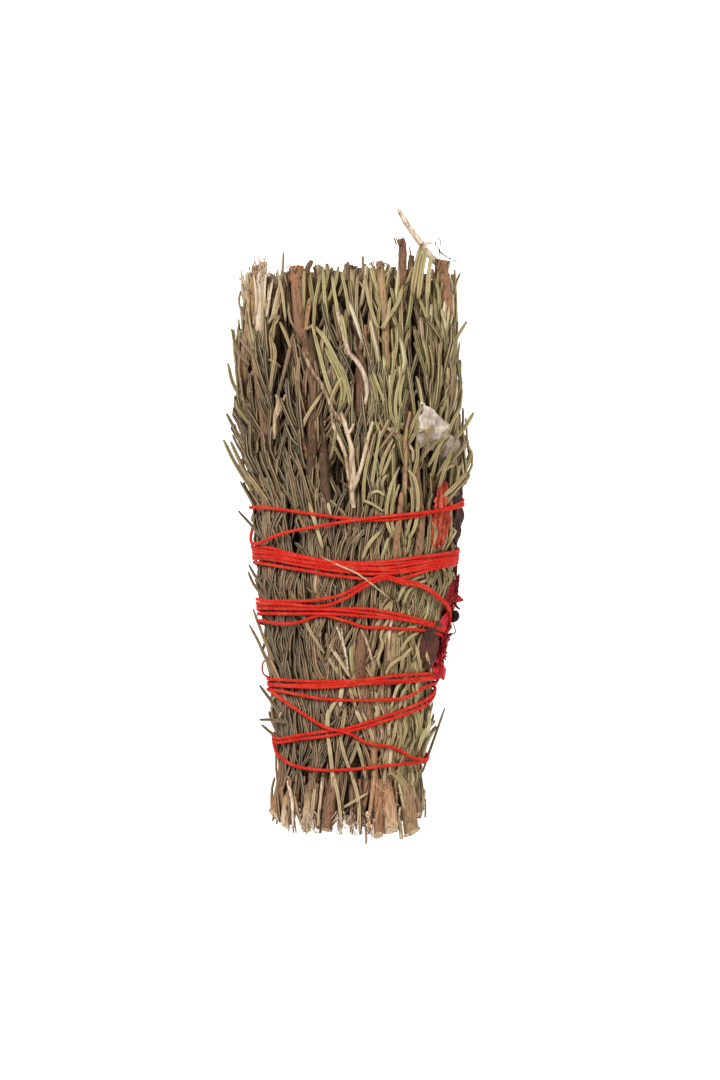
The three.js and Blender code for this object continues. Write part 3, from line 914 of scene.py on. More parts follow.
@dataclass(frozen=True)
class BarkFinish:
    """Bark that flakes lengthwise, from dark brown to straw, and reddish where it is warm.

    Args:
        name: the material's name.
        plain: colours of plain bark, from dark to pale.
        warm: the same of reddish bark.
        flake: colour under the flakes.
        crack: colour in the cracks.
    """

    name: str = "stem_bark"
    plain: Stops = (
        (0, "2c2119"), (0.25, "54422f"), (0.5, "7b654c"), (0.75, "a58c69"), (1, "dccab6"),
    )
    warm: Stops = (
        (0, "33201a"), (0.25, "5a4030"), (0.5, "835f48"), (0.75, "ab7753"), (1, "cba88a"),
    )
    flake: str = "b8a184"
    crack: str = "2b1e17"

    def build(self) -> bpy.types.Material:
        """Makes the material.

        Returns:
            The new material.
        """
        g = Graph(self.name)
        grain = g.noise(1.3, 5.0, g.stretched(1.8, 0.16))
        tone = g.mark("tone") + (grain - 0.5) * 0.5
        plain, warm = g.ramp(tone, self.plain), g.ramp(tone, self.warm)
        body = g.mix(g.mark("green"), plain, warm)
        flake = g.noise(1.1, 3.0, g.stretched(1.4, 0.22)).between(0.58, 0.66)
        flaked = g.mix(flake * 0.3, body, self.flake)
        crack = g.noise(1.9, 3.0, g.stretched(1.5, 0.18)).between(0.57, 0.68)
        cracked = g.mix(crack * 0.55, flaked, self.crack)
        height = grain + flake * 0.8 - crack * 0.7
        return g.finish(cracked, 0.82 - flake * 0.15, 0.25, Normal=g.bump(height, 0.3))


@dataclass(frozen=True)
class CutWoodFinish:
    """The cut end of a stem: pale wood with rings, a darker pith and bark round it.

    Args:
        name: the material's name.
        wood: colours of the wood, from dark to pale.
        pith: colour in the middle.
        bark: colour round the rim.
    """

    name: str = "cut_wood"
    wood: Stops = ((0.25, "8d6d4a"), (0.5, "c3a378"), (0.75, "ecdcba"))
    pith: str = "7b5a3c"
    bark: str = "5a3f2b"

    def build(self) -> bpy.types.Material:
        """Makes the material.

        Returns:
            The new material.
        """
        g = Graph(self.name)
        grain = g.noise(2.2, 4.0)
        out = g.mark("across")
        ring = (out * 15 + grain * 5).sine() * 0.05
        body = g.ramp(grain + ring + (g.mark("tone") - 0.6) * 0.4, self.wood)
        pith = g.mix((1 - out.between(0.06, 0.2)) * 0.6, body, self.pith)
        barked = g.mix(out.between(0.8, 0.97), pith, self.bark)
        return g.finish(barked, 0.85, Normal=g.bump(g.noise(5.0, 2.0), 0.15))


@dataclass(frozen=True)
class PaleTwigFinish:
    """A peeled twig: whitish wood with pinkish brown left in the hollows, and a painted highlight
    on its ridges.

    Args:
        name: the material's name.
        light: main colour.
        dark: colour in the hollows.
        bright: painted highlight on the ridges.
    """

    name: str = "peeled_twig"
    light: str = "b39c82"
    dark: str = "74593f"
    bright: str = "dcc8ae"

    def build(self) -> bpy.types.Material:
        """Makes the material.

        Returns:
            The new material.
        """
        g = Graph(self.name)
        grain = g.noise(0.9, 4.0, g.stretched(1.5, 0.3))
        tone = grain + (g.mark("tone") - 0.5) * 0.5
        # The bright stop is a painted highlight on the raised grain
        body = g.ramp(tone, ((0.3, self.dark), (0.48, self.light), (0.75, self.bright)))
        return g.finish(body, 0.72, 0.3, Normal=g.bump(grain + g.noise(4.0) * 0.3, 0.2))


@dataclass(frozen=True)
class ThreadFinish:
    """Red cotton thread, matt, with painted shade between its plies.

    Args:
        name: the material's name.
        light: colour of the plies.
        dark: painted shade between them.
        worn: colour where it is faded.
    """

    name: str = "red_cotton"
    light: str = "cc2a20"
    dark: str = "981f17"
    worn: str = "d65c48"

    def build(self) -> bpy.types.Material:
        """Makes the material.

        Returns:
            The new material.
        """
        g = Graph(self.name)
        # Painted shade in the grooves between the plies
        body = g.mix(g.mark("across").between(0.05, 0.6), self.dark, self.light)
        worn = g.mix(g.noise(0.35, 3.0).between(0.4, 0.7) * 0.35, body, self.worn)
        fibre = g.noise(9.0, 2.0, g.stretched(1.0, 2.2))
        return g.finish(worn, 0.85, 0.1, Normal=g.bump(fibre, 0.1))


@dataclass(frozen=True)
class PetalFinish:
    """A dried petal or leaf with veins that run along it, with painted shade in its creases and a
    painted highlight on its raised parts.

    Args:
        name: the material's name.
        dark: painted shade in the creases.
        middle: main colour.
        light: painted highlight on the raised parts.
        roughness: how matt it is.
    """

    name: str
    dark: str
    middle: str
    light: str
    roughness: float = 0.68

    def build(self) -> bpy.types.Material:
        """Makes the material.

        Returns:
            The new material.
        """
        g = Graph(self.name)
        cloud = g.noise(0.28, 4.0)
        vein = g.noise(1.7, 3.0, g.stretched(1.4, 0.3))
        # The colour follows the bump's heights: painted shade in the hollows and a painted
        # highlight on the raised parts
        tone = cloud * 0.6 + vein * 0.4 + (g.mark("tone") - 0.5) * 0.4
        body = g.ramp(tone, ((0.32, self.dark), (0.5, self.middle), (0.68, self.light)))
        roughness = cloud * 0.2 + (self.roughness - 0.1)
        return g.finish(body, roughness, 0.15, Normal=g.bump(vein + cloud, 0.22))


@dataclass(frozen=True)
class FloorFinish:
    """The plain pale surface that the bundle lies on.

    Args:
        name: the material's name.
        grey: its colour.
        white: colour of its glow.
        glow: strength of that.
    """

    name: str = "pale_floor"
    grey: Colour = (0.93, 0.93, 0.93, 1)
    white: Colour = (1, 1, 1, 1)
    glow: float = 0.75

    def build(self) -> bpy.types.Material:
        """Makes the material.

        Returns:
            The new material.
        """
        glow = {"Emission_Color": self.white, "Emission_Strength": self.glow}
        return Graph(self.name).finish(self.grey, 0.9, 0.1, **glow)


# Sprigs


class Layer(Enum):
    """Where in the bundle a sprig lies."""

    OUTER = "leafy_sprig"
    INNER = "inner_sprig"


class Slot(IntEnum):
    """A sprig's materials, in order."""

    NEEDLE = 0
    BARK = 1
    CUT = 2


class Kind(Enum):
    """What a strand is, and where it lies."""

    LEAF = "a needle among the others"
    OVER = "a needle over the thread"
    WOOD = "a fibre or splinter of wood or bark"


LEAF, OVER, WOOD = Kind


@dataclass(frozen=True)
class Strand:
    """One needle, fibre or splinter that the reference shows at a place of its own.

    Args:
        kind: what it is.
        half_width: at its widest.
        tone: 0 for dark to 1 for pale.
        green: 0 for dry brown to 1 for olive green, or how reddish the wood is.
        points: x and y from its root to its tip.
        seat: share of the way out at which its ends lie.
        arch: what its middle gains on that.
        edge: beyond this share of the width it hangs down no further than drop.
        drop: share of the thickness.
        profile: share of the way along it, and of its width there.
    """

    kind: Kind
    half_width: float
    tone: float
    green: float
    points: Table
    seat: float = 0.99
    arch: float = 0.06
    edge: float = 0.72
    drop: float = 0.2
    profile: Table = ((0, 0.6), (0.1, 0.85), (0.3, 1), (0.85, 0.85), (1, 0.5))

    @classmethod
    def from_row(cls, row: Sequence[Union[Kind, float]]) -> "Strand":
        """Reads a row of a table: kind, half width, tone and green, then x and y by turns."""
        return cls(*row[:4], tuple(zip(row[4::2], row[5::2])))

    def direction(self) -> float:
        """Finds where it grows.

        Returns:
            The direction in which its root lies, in degrees.
        """
        x, y = self.points[0]
        wide, _, off = BUNDLE.outline(np.array(y))
        return math.degrees(math.acos(max(-1.0, min(1.0, (x - float(off)) / float(wide)))))

    def add(self, skin: Skin) -> None:
        """Adds it to its sprig's skin.

        Args:
            skin: where its faces go.
        """
        given = np.array(self.points)
        flat = smooth_through(np.column_stack([given, np.zeros(len(given))]), 14)
        t = np.linspace(0, 1, len(flat))
        wide, deep, off = BUNDLE.outline(flat[:, 1])
        u = np.clip((flat[:, 0] - off) / wide, -1, 1)
        share = self.seat + self.arch * np.sin(math.pi * np.minimum(t * 0.75, 0.5))
        if self.kind is OVER:
            share = share + 0.025
        else:
            share = np.minimum(share, PRESS.cap(np.arccos(u), flat[:, 1]) + 0.02)
        line = BUNDLE.on_face(flat[:, 0], flat[:, 1], share)
        if abs(u[0]) > self.edge:
            line[:, 2] = np.maximum(line[:, 2], line[0, 2] - self.drop * deep)
        section, material, ends = NEEDLE_SECTION, Slot.NEEDLE, (Slot.NEEDLE, Slot.NEEDLE)
        if self.kind is WOOD:
            section, material, ends = round_section(6), Slot.BARK, (Slot.BARK, Slot.CUT)
        width = self.half_width * read_off(self.profile, t)
        add_tube(
            skin, line, width, section, self.tone, material, ends, (0.0, 0.1, 1.0), 0.7, self.green
        )


@dataclass(frozen=True)
class Sprig:
    """One cut sprig of rosemary.

    Args:
        foot_at: direction in which it lies at the foot, in degrees.
        head_at: the same at the head.
        foot: y at which its stem is cut below.
        head: y at which its stem is cut above.
        high: y at which its leaves end.
        stem: the stem's radius.
        bark: 0 to 1, from dark brown to pale straw.
        loose: share by which it lies further out where the bundle is free.
        bare: stretches of y in which its stem shows on the outside.
        share: share of the way out at which it lies.
        tone: 0 to 1, how pale its needles are.
        green: 0 to 1, how green they are.
        full: 0 to 1, how many of them are left.
        warm: 0 to 1, how reddish its bark is.
        bends: y and direction in degrees where its line leaves the straight course, by rising y.
        tints: y, bark and warm, where these change along the stem.
        girth: y and what the stem's radius is multiplied by there.
        falling: share of its side shoots that point to the foot.
        below: how much paler its needles are towards the foot.
    """

    foot_at: float
    head_at: float
    foot: float
    head: float
    high: float = 63.0
    stem: float = 1.15
    bark: float = 0.3
    loose: float = 0.03
    bare: Table = ()
    share: float = 0.82
    tone: float = 0.5
    green: float = 0.5
    full: float = 1.0
    warm: float = 0.3
    bends: Table = ()
    tints: tuple[Place, ...] = ()
    girth: Table = ((0.0, 1.0),)
    falling: float = 0.0
    below: float = 0.0

    def angle(self, y: Array) -> Array:
        """Its direction.

        Args:
            y: places along the bundle.

        Returns:
            Radians from +X.
        """
        head = () if self.bends else ((HEAD_Y, self.head_at),)
        foot = () if self.bends and self.bends[0][0] <= FOOT_Y else ((FOOT_Y, self.foot_at),)
        return np.radians(read_off((*foot, *self.bends, *head), y))

    def shown(self, y: Array) -> Array:
        """Where its stem shows on the outside.

        Args:
            y: places along the bundle.

        Returns:
            1 where it shows, falling to 0 within a few millimetres.
        """
        result = np.zeros_like(y)
        for low, high in self.bare:
            inside = ramp_between(y, low - 4, low) * ramp_between(-y, -high - 4, -high)
            result = np.maximum(result, inside)
        return result

    def radius(self, y: Array) -> Array:
        """Its stem's radius where it shows."""
        return self.stem * read_off(self.girth, y)

    def middle(self, y: Array) -> Array:
        """Its middle line.

        Args:
            y: places along the bundle.

        Returns:
            Rows of x, y and z.
        """
        shown, angle = self.shown(y), self.angle(y)
        share = self.share + self.loose * looseness(y) + 0.1 * shown
        share = share + 0.07 * ramp_between(-y, 60, 72)
        held = PRESS.cap(angle, y) - 0.95 * (self.radius(y) * shown) / BUNDLE.outline(y)[1]
        return BUNDLE.place(angle, np.minimum(share, held), y)


# Rows of kind, half width, tone and green, then x and y from root to tip by turns
# Needles that stand out past the edges
STRAYS = (
    (LEAF, 0.42, 0.08, 0.3, -20.8, -3.5, -24.4, 0.6, -27.6, 4.1),
    (LEAF, 0.4, 0.12, 0.3, -20.4, -16, -23.4, -12.2, -25, -9.4),
    (LEAF, 0.42, 0.2, 0.3, -20.4, -18.4, -23.6, -14.6, -25.2, -11.2),
    (LEAF, 0.44, 0.35, 0.4, -17.6, -39.1, -20.6, -33.4, -22.8, -28.6, -25, -24.6),
    (LEAF, 0.44, 0.5, 0.3, -18.6, -33.6, -21.6, -27, -24, -20.6),
    (LEAF, 0.46, 0.08, 0.4, -16.6, -47.6, -19.8, -43.4, -22.4, -39.9),
    (LEAF, 0.42, 0.1, 0.3, -15.8, -49.2, -19.4, -48.6, -22.4, -48.6),
    (LEAF, 0.44, 0.12, 0.3, -16, -55, -19.2, -52.2, -21.9, -49.9),
    (LEAF, 0.56, 0.42, 0.5, -24, 9, -28.4, 16, -31.4, 22),
    (LEAF, 0.56, 0.5, 0.5, -24.2, 10.4, -27.2, 16.4, -29.6, 21.6),
    (LEAF, 0.52, 0.3, 0.5, -24.4, 17.6, -28.2, 24.2, -30.6, 28.6),
    (LEAF, 0.52, 0.4, 0.5, -24.6, 30, -28.6, 35.4, -30.2, 41.2),
    (LEAF, 0.5, 0.3, 0.4, -24.6, 40.4, -27.8, 44.4, -29.2, 49.8),
    (LEAF, 0.36, 0.3, 0.5, 18.8, -62, 21.8, -53.6, 24.5, -45.9),
    (LEAF, 0.58, 0.6, 0.5, 23.6, 7.4, 27, 10.6, 29.8, 13.8),
    (LEAF, 0.54, 0.5, 0.5, 24.4, 5.8, 27.4, 9.8, 30.4, 12.6),
    (LEAF, 0.56, 0.55, 0.7, 25.2, 20.6, 28.8, 24.4, 31.5, 28.7),
    (LEAF, 0.52, 0.5, 0.7, 24.6, 15.4, 27.8, 18.8, 29.8, 21.8),
    (LEAF, 0.48, 0.6, 0.5, 25.4, 44, 27.8, 48.4, 29.8, 51.7),
    (LEAF, 0.4, 0.3, 0.2, 26.3, 56.8, 26.9, 60.6, 28.3, 64.2),
)
# Needles over the dry leaf, and broad green leaves
LEAVES = (
    (OVER, 0.46, 0.5, 0.7, 18.5, 19.9, 19.9, 22.4, 21.1, 25),
    (OVER, 0.46, 0.56, 0.6, 19.9, 14.9, 21.6, 18, 23.4, 21.4, 24.8, 24.4),
    (OVER, 0.46, 0.45, 0.7, 20.8, 12.3, 21.6, 15.6, 22.6, 19.4),
    (OVER, 0.46, 0.52, 0.6, 22.6, 9.8, 24, 14.2, 25.9, 18.6),
    (OVER, 0.42, 0.6, 0.5, 23.1, 13.2, 24.9, 14.8, 26.6, 15.4),
    (OVER, 0.48, 0.56, 0.6, 24.6, 22.3, 26.2, 26.4, 28.3, 30.2),
    (OVER, 0.5, 0.55, 0.6, 16.2, 12.8, 17.2, 17.2, 17, 21.6),
    (OVER, 0.42, 0.3, 0.5, 15.6, 17.6, 18.6, 20.4, 22, 21.6),
    (OVER, 0.42, 0.35, 0.4, 17.4, 15.6, 20.2, 19.4, 23.6, 22.2),
    (OVER, 0.4, 0.25, 0.5, 20.6, 16.2, 23.2, 19.6, 25.4, 22.6),
    (OVER, 0.42, 0.4, 0.5, 22, 12.6, 24.8, 17, 27, 22.2),
    (OVER, 0.4, 0.4, 0.6, 19, 17.2, 19.6, 20.6, 19, 23.8),
    (OVER, 0.9, 0.55, 1.4, -2, 29, -1.1, 33.5, -2.4, 38, -5.6, 44.2),
    (OVER, 0.6, 0.58, 1.1, 1.5, 24.8, 0.5, 31.5, -1, 37.9, -3.1, 41.5),
    (OVER, 0.62, 0.7, 0.7, -3.1, 30, -4.6, 34.1, -6.1, 39.2, -8.8, 49.8),
    (OVER, 0.24, 0.8, 0.3, -6.6, -7.4, -2, -9.6, 2.4, -11.6, 7, -15, 10.9, -18.2),
    (OVER, 0.85, 0.6, 0.6, 15.9, 57.6, 16.9, 64, 18.3, 70.2),
    (OVER, 0.75, 0.66, 0.6, 17.4, 56.6, 18.2, 63.2, 19.4, 69.2),
    (OVER, 0.62, 0.72, 0.4, 19.6, 56, 20, 62, 20.6, 67.2),
)
# Needles, fibres and splinters of the upper face
FACE = (
    # head
    (LEAF, 0.42, 0.08, 0.2, -19.4, 63.1, -18.3, 61.8, -17.8, 60.2),
    (LEAF, 0.4, 0.1, 0.2, -17.6, 63.5, -17.5, 61.8, -17.6, 59.8),
    (LEAF, 0.34, 0.4, 0, -16, 68.2, -16.1, 64.5, -16.5, 61.2),
    (LEAF, 0.24, 0.7, 0, -27.6, 62.9, -26, 61.1, -24.8, 59),
    (LEAF, 0.34, 0.05, 0.1, -27, 61.5, -25.9, 60.1, -24.5, 58.8),
    (LEAF, 0.34, 0.45, 0.1, -27.2, 59.6, -27.4, 56.8, -26.6, 53.8, -25.2, 50.8),
    (LEAF, 0.5, 0.68, 0.6, 4.2, 62.2, 5.2, 55.8, 6.8, 50.5, 7.6, 49),
    (LEAF, 0.5, 0.66, 0.6, 13.6, 59.8, 12.5, 55.8, 9.7, 51.1, 8.2, 49),
    (LEAF, 0.42, 0.72, 0.5, 10.5, 56.8, 10, 53, 9, 49),
    (WOOD, 0.32, 0.9, 0.1, -19.8, 59.2, -19.6, 55.8, -20.2, 52.2),
    (WOOD, 0.66, 0.7, 0.5, -9.4, 56.5, -9.9, 53, -10.4, 48.8),
    (WOOD, 0.8, 0.3, 0.5, -8.9, 65.8, -9.9, 64, -11, 61.2),
    (WOOD, 0.5, 0.4, 0.3, 0, 65.5, 0, 63, -0.1, 60.8),
    (LEAF, 0.3, 0.95, 0.1, -20, 52, -19.4, 57, -18.6, 61.5),
    (LEAF, 0.34, 0.9, 0.2, -19.4, 50, -18.2, 55, -17, 60),
    (LEAF, 0.3, 0.95, 0, -22.8, 53, -22.9, 58, -23.5, 63),
    (LEAF, 0.3, 1, 0, -20.8, 54, -20.6, 60, -20.2, 65),
    (LEAF, 0.28, 0.8, 0.1, -24.8, 55, -25.6, 60, -26.6, 63.4),
    (LEAF, 0.5, 0.56, 0.8, -8.6, 48, -8, 56, -6.7, 62.4),
    (LEAF, 0.56, 0.68, 0.9, -4.4, 46, -5.6, 55, -6.2, 63.9),
    (LEAF, 0.44, 0.45, 0.6, -7.2, 55, -5.4, 60, -4.7, 64.4),
    (LEAF, 0.5, 0.72, 0.8, -1.9, 50, -3.2, 57, -3.9, 62),
    (LEAF, 0.48, 0.58, 1, -5, 55.5, -3.1, 60, -2.3, 64.3),
    (LEAF, 0.5, 0.66, 0.7, 0.4, 52, -0.5, 58, -1.7, 63),
    (LEAF, 0.42, 0.42, 0.6, -2.3, 57, -1, 61, -0.7, 64.6),
    (LEAF, 0.42, 0.6, 0.3, -18.4, 49, -17.4, 56, -16.6, 62.4),
    (LEAF, 0.42, 0.72, 0.4, -15.4, 51, -16.3, 58, -17.6, 63.8),
    # upper left
    (LEAF, 0.62, 0.7, 0.8, -8.5, 49.8, -5.7, 46.5, -3, 41.4, -0.5, 36.2, 1, 26.2),
    (WOOD, 0.45, 0.8, 0.2, -11, 48.6, -9.8, 49.1, -8.4, 49.8),
    (WOOD, 0.55, 0.5, 0.1, -13.5, 47.8, -14.6, 43.1, -16.3, 36.2, -17.2, 32.8),
    (LEAF, 0.45, 0.66, 0.4, -16.3, 56.8, -18.3, 52.9, -20, 50.2),
    (LEAF, 0.45, 0.6, 0.4, -16.9, 50.8, -15.5, 47.8, -14.2, 44.2),
    (LEAF, 0.5, 0.58, 0.3, -19.2, 47.1, -18, 43.1, -18.8, 37.8, -19.2, 32.8),
    (LEAF, 0.34, 0.6, 0.1, -16.6, 39.6, -18.2, 40.8, -20.2, 41.8),
    (LEAF, 0.42, 0.35, 0.3, -27.6, 47.8, -23.5, 42.5, -21.5, 38.8),
    (WOOD, 0.62, 0.82, 0.2, -17.8, 32.8, -17.1, 30.8, -18, 27.5, -18.3, 21.8),
    (WOOD, 0.4, 0.8, 0.1, -15.5, 32.8, -16.5, 29.8, -17.8, 26.8),
    (LEAF, 0.52, 0.72, 0.25, -12.3, 22.2, -10, 27.5, -6.2, 33.2),
    (LEAF, 0.5, 0.5, 0.4, -12, 42, -12.3, 36.2, -11.1, 28.8),
    # right
    (LEAF, 0.5, 0.7, 0.55, 11.5, -3.2, 9.8, 0.8, 9.6, 4.8, 10.7, 10.2, 12.7, 14.8),
    (LEAF, 0.46, 0.62, 0.5, 11.8, -2.8, 10.8, 1.8, 11, 5.5, 12.7, 10.5),
    (LEAF, 0.5, 0.72, 0.5, 15.2, -3.2, 16.8, 0.8, 17.4, 6.8, 16.6, 11.8, 15, 14),
    (LEAF, 0.44, 0.6, 0.5, 14.2, -2.8, 15.5, 1.8, 16, 5.5, 15.5, 9.8),
    (LEAF, 0.5, 0.62, 0.7, 3.9, 5.8, 4.2, 13, 6.3, 22.2),
    (LEAF, 0.5, 0.66, 0.7, 5.5, 8.2, 6.6, 15, 8, 23.8),
    (LEAF, 0.5, 0.62, 0.6, 6.9, 8.8, 8.8, 16.8, 11.2, 21.8),
    (LEAF, 0.44, 0.7, 0.5, 8.2, 12, 10, 16.2, 11.6, 20.5),
    (LEAF, 0.38, 0.78, 0.4, 5.1, 7.8, 7.2, 8.8, 9.2, 7.6),
    (LEAF, 0.42, 0.72, 0.5, 3.6, 6.6, 6.1, 5.6, 8.8, 3.8),
    (LEAF, 0.36, 0.7, 0.4, 8.4, 9.8, 8.8, 11.8, 9.8, 12.9),
    (LEAF, 0.48, 0.82, 0.3, 13.1, 20.8, 10.9, 23.5, 9.1, 24.9),
    (LEAF, 0.4, 0.72, 0.4, 15.2, 21.5, 16.8, 23.4, 19.5, 24.2, 21, 25.1),
    (LEAF, 0.42, 0.7, 0.4, 14.8, 20.8, 16, 18.8, 16.1, 16),
    (LEAF, 0.5, 0.7, 0.8, 14.2, 25, 12.5, 26, 11.8, 28.2, 11.9, 32.2, 13, 37),
    (WOOD, 0.55, 0.7, 0.3, 14.1, 7.4, 14.2, 12, 14.3, 18, 14.2, 22, 15.4, 28.5),
    (WOOD, 0.9, 0.62, 0.7, 11.6, -8.5, 12.2, -2, 12.9, 3.5, 13.3, 8.5),
    (WOOD, 0.36, 0.75, 0.2, 14.3, 20.6, 12.2, 22.6, 10.6, 24.6),
    (LEAF, 0.52, 0.55, 0.7, 14.6, 21.4, 16.2, 25.6, 18.6, 30.4),
    (LEAF, 0.46, 0.45, 0.7, 14.2, 19.6, 16.4, 22.6, 17.4, 26.6),
    (LEAF, 0.5, 0.6, 0.8, 14, 24, 11.2, 26.5, 10.4, 29.8, 10.5, 33.8, 11.8, 39),
    (LEAF, 0.46, 0.66, 0.8, 14.2, 27.8, 13.1, 29.5, 12.9, 32.8, 13.8, 37.5),
    # middle and bands
    (LEAF, 0.55, 0.78, 0.3, -9.6, 6, -8.4, 2, -7.2, -2, -6.2, -5.5),
    (LEAF, 0.46, 0.82, 0.3, -4.9, 6, -4.6, 4.5, -4.2, 2.8),
    (LEAF, 0.26, 0.8, 0.1, -20.2, -6.6, -19.5, -7.5, -18.4, -8.8),
    (LEAF, 0.32, 1, 0, 11.1, -11.2, 11.9, -10.6, 12.8, -9.9),
    (LEAF, 0.22, 0.9, 0.1, 7.6, -22, 8.2, -21.4, 9.1, -20.6),
    (LEAF, 0.46, 0.6, 0.3, -11.1, -22.2, -9.6, -25.5, -7.8, -28.5, -5.8, -31.5),
    (LEAF, 0.42, 0.72, 0.4, 19, -12.1, 16.2, -13, 14, -15, 12, -19.2),
    (LEAF, 0.4, 0.66, 0.5, 19.8, -13.2, 17.2, -14.2, 15, -16.2, 13.5, -19.8),
    (LEAF, 0.52, 0.72, 0.5, 8.2, -1, 6, -3.2, 4.5, -5.5, 3.5, -8.2),
    (WOOD, 0.34, 0.95, 0.1, -2.8, -24.8, -1.2, -29, -0.5, -32, 0, -35.5),
    (WOOD, 0.28, 0.9, 0.1, -1.6, -25.2, -1.4, -27.2, -0.9, -29.8),
    (WOOD, 0.36, 0.85, 0.35, 3.2, -25.5, 4.5, -28.2, 5.5, -31.2, 6.6, -35.5),
    (LEAF, 0.42, 0.74, 0.35, 11, -18.2, 10.5, -21.2, 9.5, -24, 8.1, -26.8, 8.6, -29.5, 7.5, -32.5,
     7.8, -35.2),
    (LEAF, 0.42, 0.72, 0.3, 17.2, -24.8, 15, -25.2, 12.5, -26.8),
    (LEAF, 0.44, 0.66, 0.5, 17.8, -26.2, 15.2, -27.8, 13, -30.8),
    (LEAF, 0.46, 0.72, 0.5, 16.2, -30, 14.2, -31.8, 13.5, -33.2, 13.4, -36.2),
    (LEAF, 0.46, 0.74, 0.4, 17, -29.5, 17.6, -32.5, 18.4, -36.5),
    (LEAF, 0.46, 0.72, 0.5, 15.8, -31.5, 12.5, -33, 10.2, -35, 9.4, -37.2),
    (LEAF, 0.44, 0.7, 0.3, 19, -30.2, 20, -33.2, 21, -36.8),
    # lower
    (LEAF, 0.5, 0.76, 0.5, -2.4, -42.8, -4, -45, -4.9, -47.5, -4.9, -51),
    (LEAF, 0.62, 0.86, 0.3, -1.4, -40, -1.8, -42.2, -1.9, -44.8),
    (LEAF, 0.58, 0.78, 0.35, -5.2, -51.5, -4.5, -56, -4, -60.8, -3.8, -65.5),
    (LEAF, 0.56, 0.8, 0.4, -4.8, -45.5, -5.2, -48.2, -5, -51),
    (LEAF, 0.5, 0.7, 0.4, -1.9, -52.5, -1.2, -56, 0.2, -60.2, 1.4, -63),
    (LEAF, 0.5, 0.66, 0.4, 2.1, -53.5, 3.2, -57.2, 4.5, -63.5),
    (LEAF, 0.58, 0.82, 0.3, 2, -45.8, 2.8, -47.5, 3.6, -49.4),
    (LEAF, 0.44, 0.66, 0.4, 0.4, -40, 1, -42.2, 2, -45),
    (LEAF, 0.46, 0.78, 0.35, 15, -37.1, 12.4, -40, 10.8, -45),
    (LEAF, 0.42, 0.7, 0.4, 15.8, -38.8, 13.6, -41.8, 12.8, -45.8),
    (LEAF, 0.28, 0.95, 0, 11.1, -38, 12, -38.4, 13, -38.2),
    (LEAF, 0.48, 0.74, 0.45, 14.2, -45.9, 11.8, -47.4, 10.4, -49.2, 10.1, -52.5),
    (LEAF, 0.46, 0.66, 0.6, 12.2, -47.5, 11.8, -50.7, 10.8, -55),
    (LEAF, 0.46, 0.6, 0.6, 13.9, -47.5, 14.5, -50.7, 13.2, -55.5),
    (LEAF, 0.56, 0.72, 0.5, 22, -49.1, 19, -52, 17.5, -57),
    (LEAF, 0.54, 0.62, 0.5, 22.4, -50.5, 20.4, -53.2, 18.5, -57.8),
    (LEAF, 0.44, 0.8, 0.4, 20.2, -46, 20.5, -49.5, 18.9, -53.5),
    (LEAF, 0.22, 0.95, 0, -19.2, -43.9, -18.6, -42.9, -17.6, -42.6),
    (LEAF, 0.22, 0.9, 0.1, -17.5, -48.2, -17.1, -47.2, -16.8, -46.5),
    # foot
    (WOOD, 0.46, 1, 0, -15.2, -63.8, -14.1, -68.8, -13.8, -75.2),
    (WOOD, 0.48, 0.85, 0.2, -6.2, -62, -6.9, -68, -7.6, -74.8),
    (LEAF, 0.52, 0.76, 0.3, -4, -61, -2.5, -67.2, -1.5, -75.5),
    (LEAF, 0.56, 0.74, 0.25, 0.8, -61.5, 2.5, -68, 3, -76.8),
    (LEAF, 0.4, 0.72, 0.2, -1.2, -70.2, 1.8, -68.4, 5, -66.5),
    (WOOD, 0.62, 0.75, 0.6, 6.6, -60.8, 6, -67.2, 5, -75.5),
    (WOOD, 0.2, 0.9, 0.5, 6.9, -67.1, 10, -68.5, 12.8, -69.8),
    (WOOD, 0.24, 0.88, 0.5, 3.2, -71.2, 5.2, -72.5, 7, -73.6),
    (WOOD, 0.2, 0.9, 0.5, 9.4, -66.1, 11, -69, 10.8, -71.5),
    (WOOD, 0.22, 0.85, 0.6, 5.8, -63, 8, -65.5, 10.5, -67.1),
    (WOOD, 0.2, 0.85, 0.6, 7.5, -64.8, 8.8, -68.2, 9, -71.2),
    (WOOD, 0.36, 0.6, 0.5, 4.1, -72.8, 4.5, -76.2, 4.6, -79.2),
    (LEAF, 0.56, 0.62, 0.4, 10.2, -61, 14, -65, 15.6, -70.2, 15.6, -77.5),
    (LEAF, 0.5, 0.55, 0.45, 12.2, -61, 15, -65.8, 16.5, -71.2, 16.8, -75.2),
    (LEAF, 0.24, 0.3, 0.1, -17.2, -63.2, -18.2, -68.2, -19.2, -74.5),
)

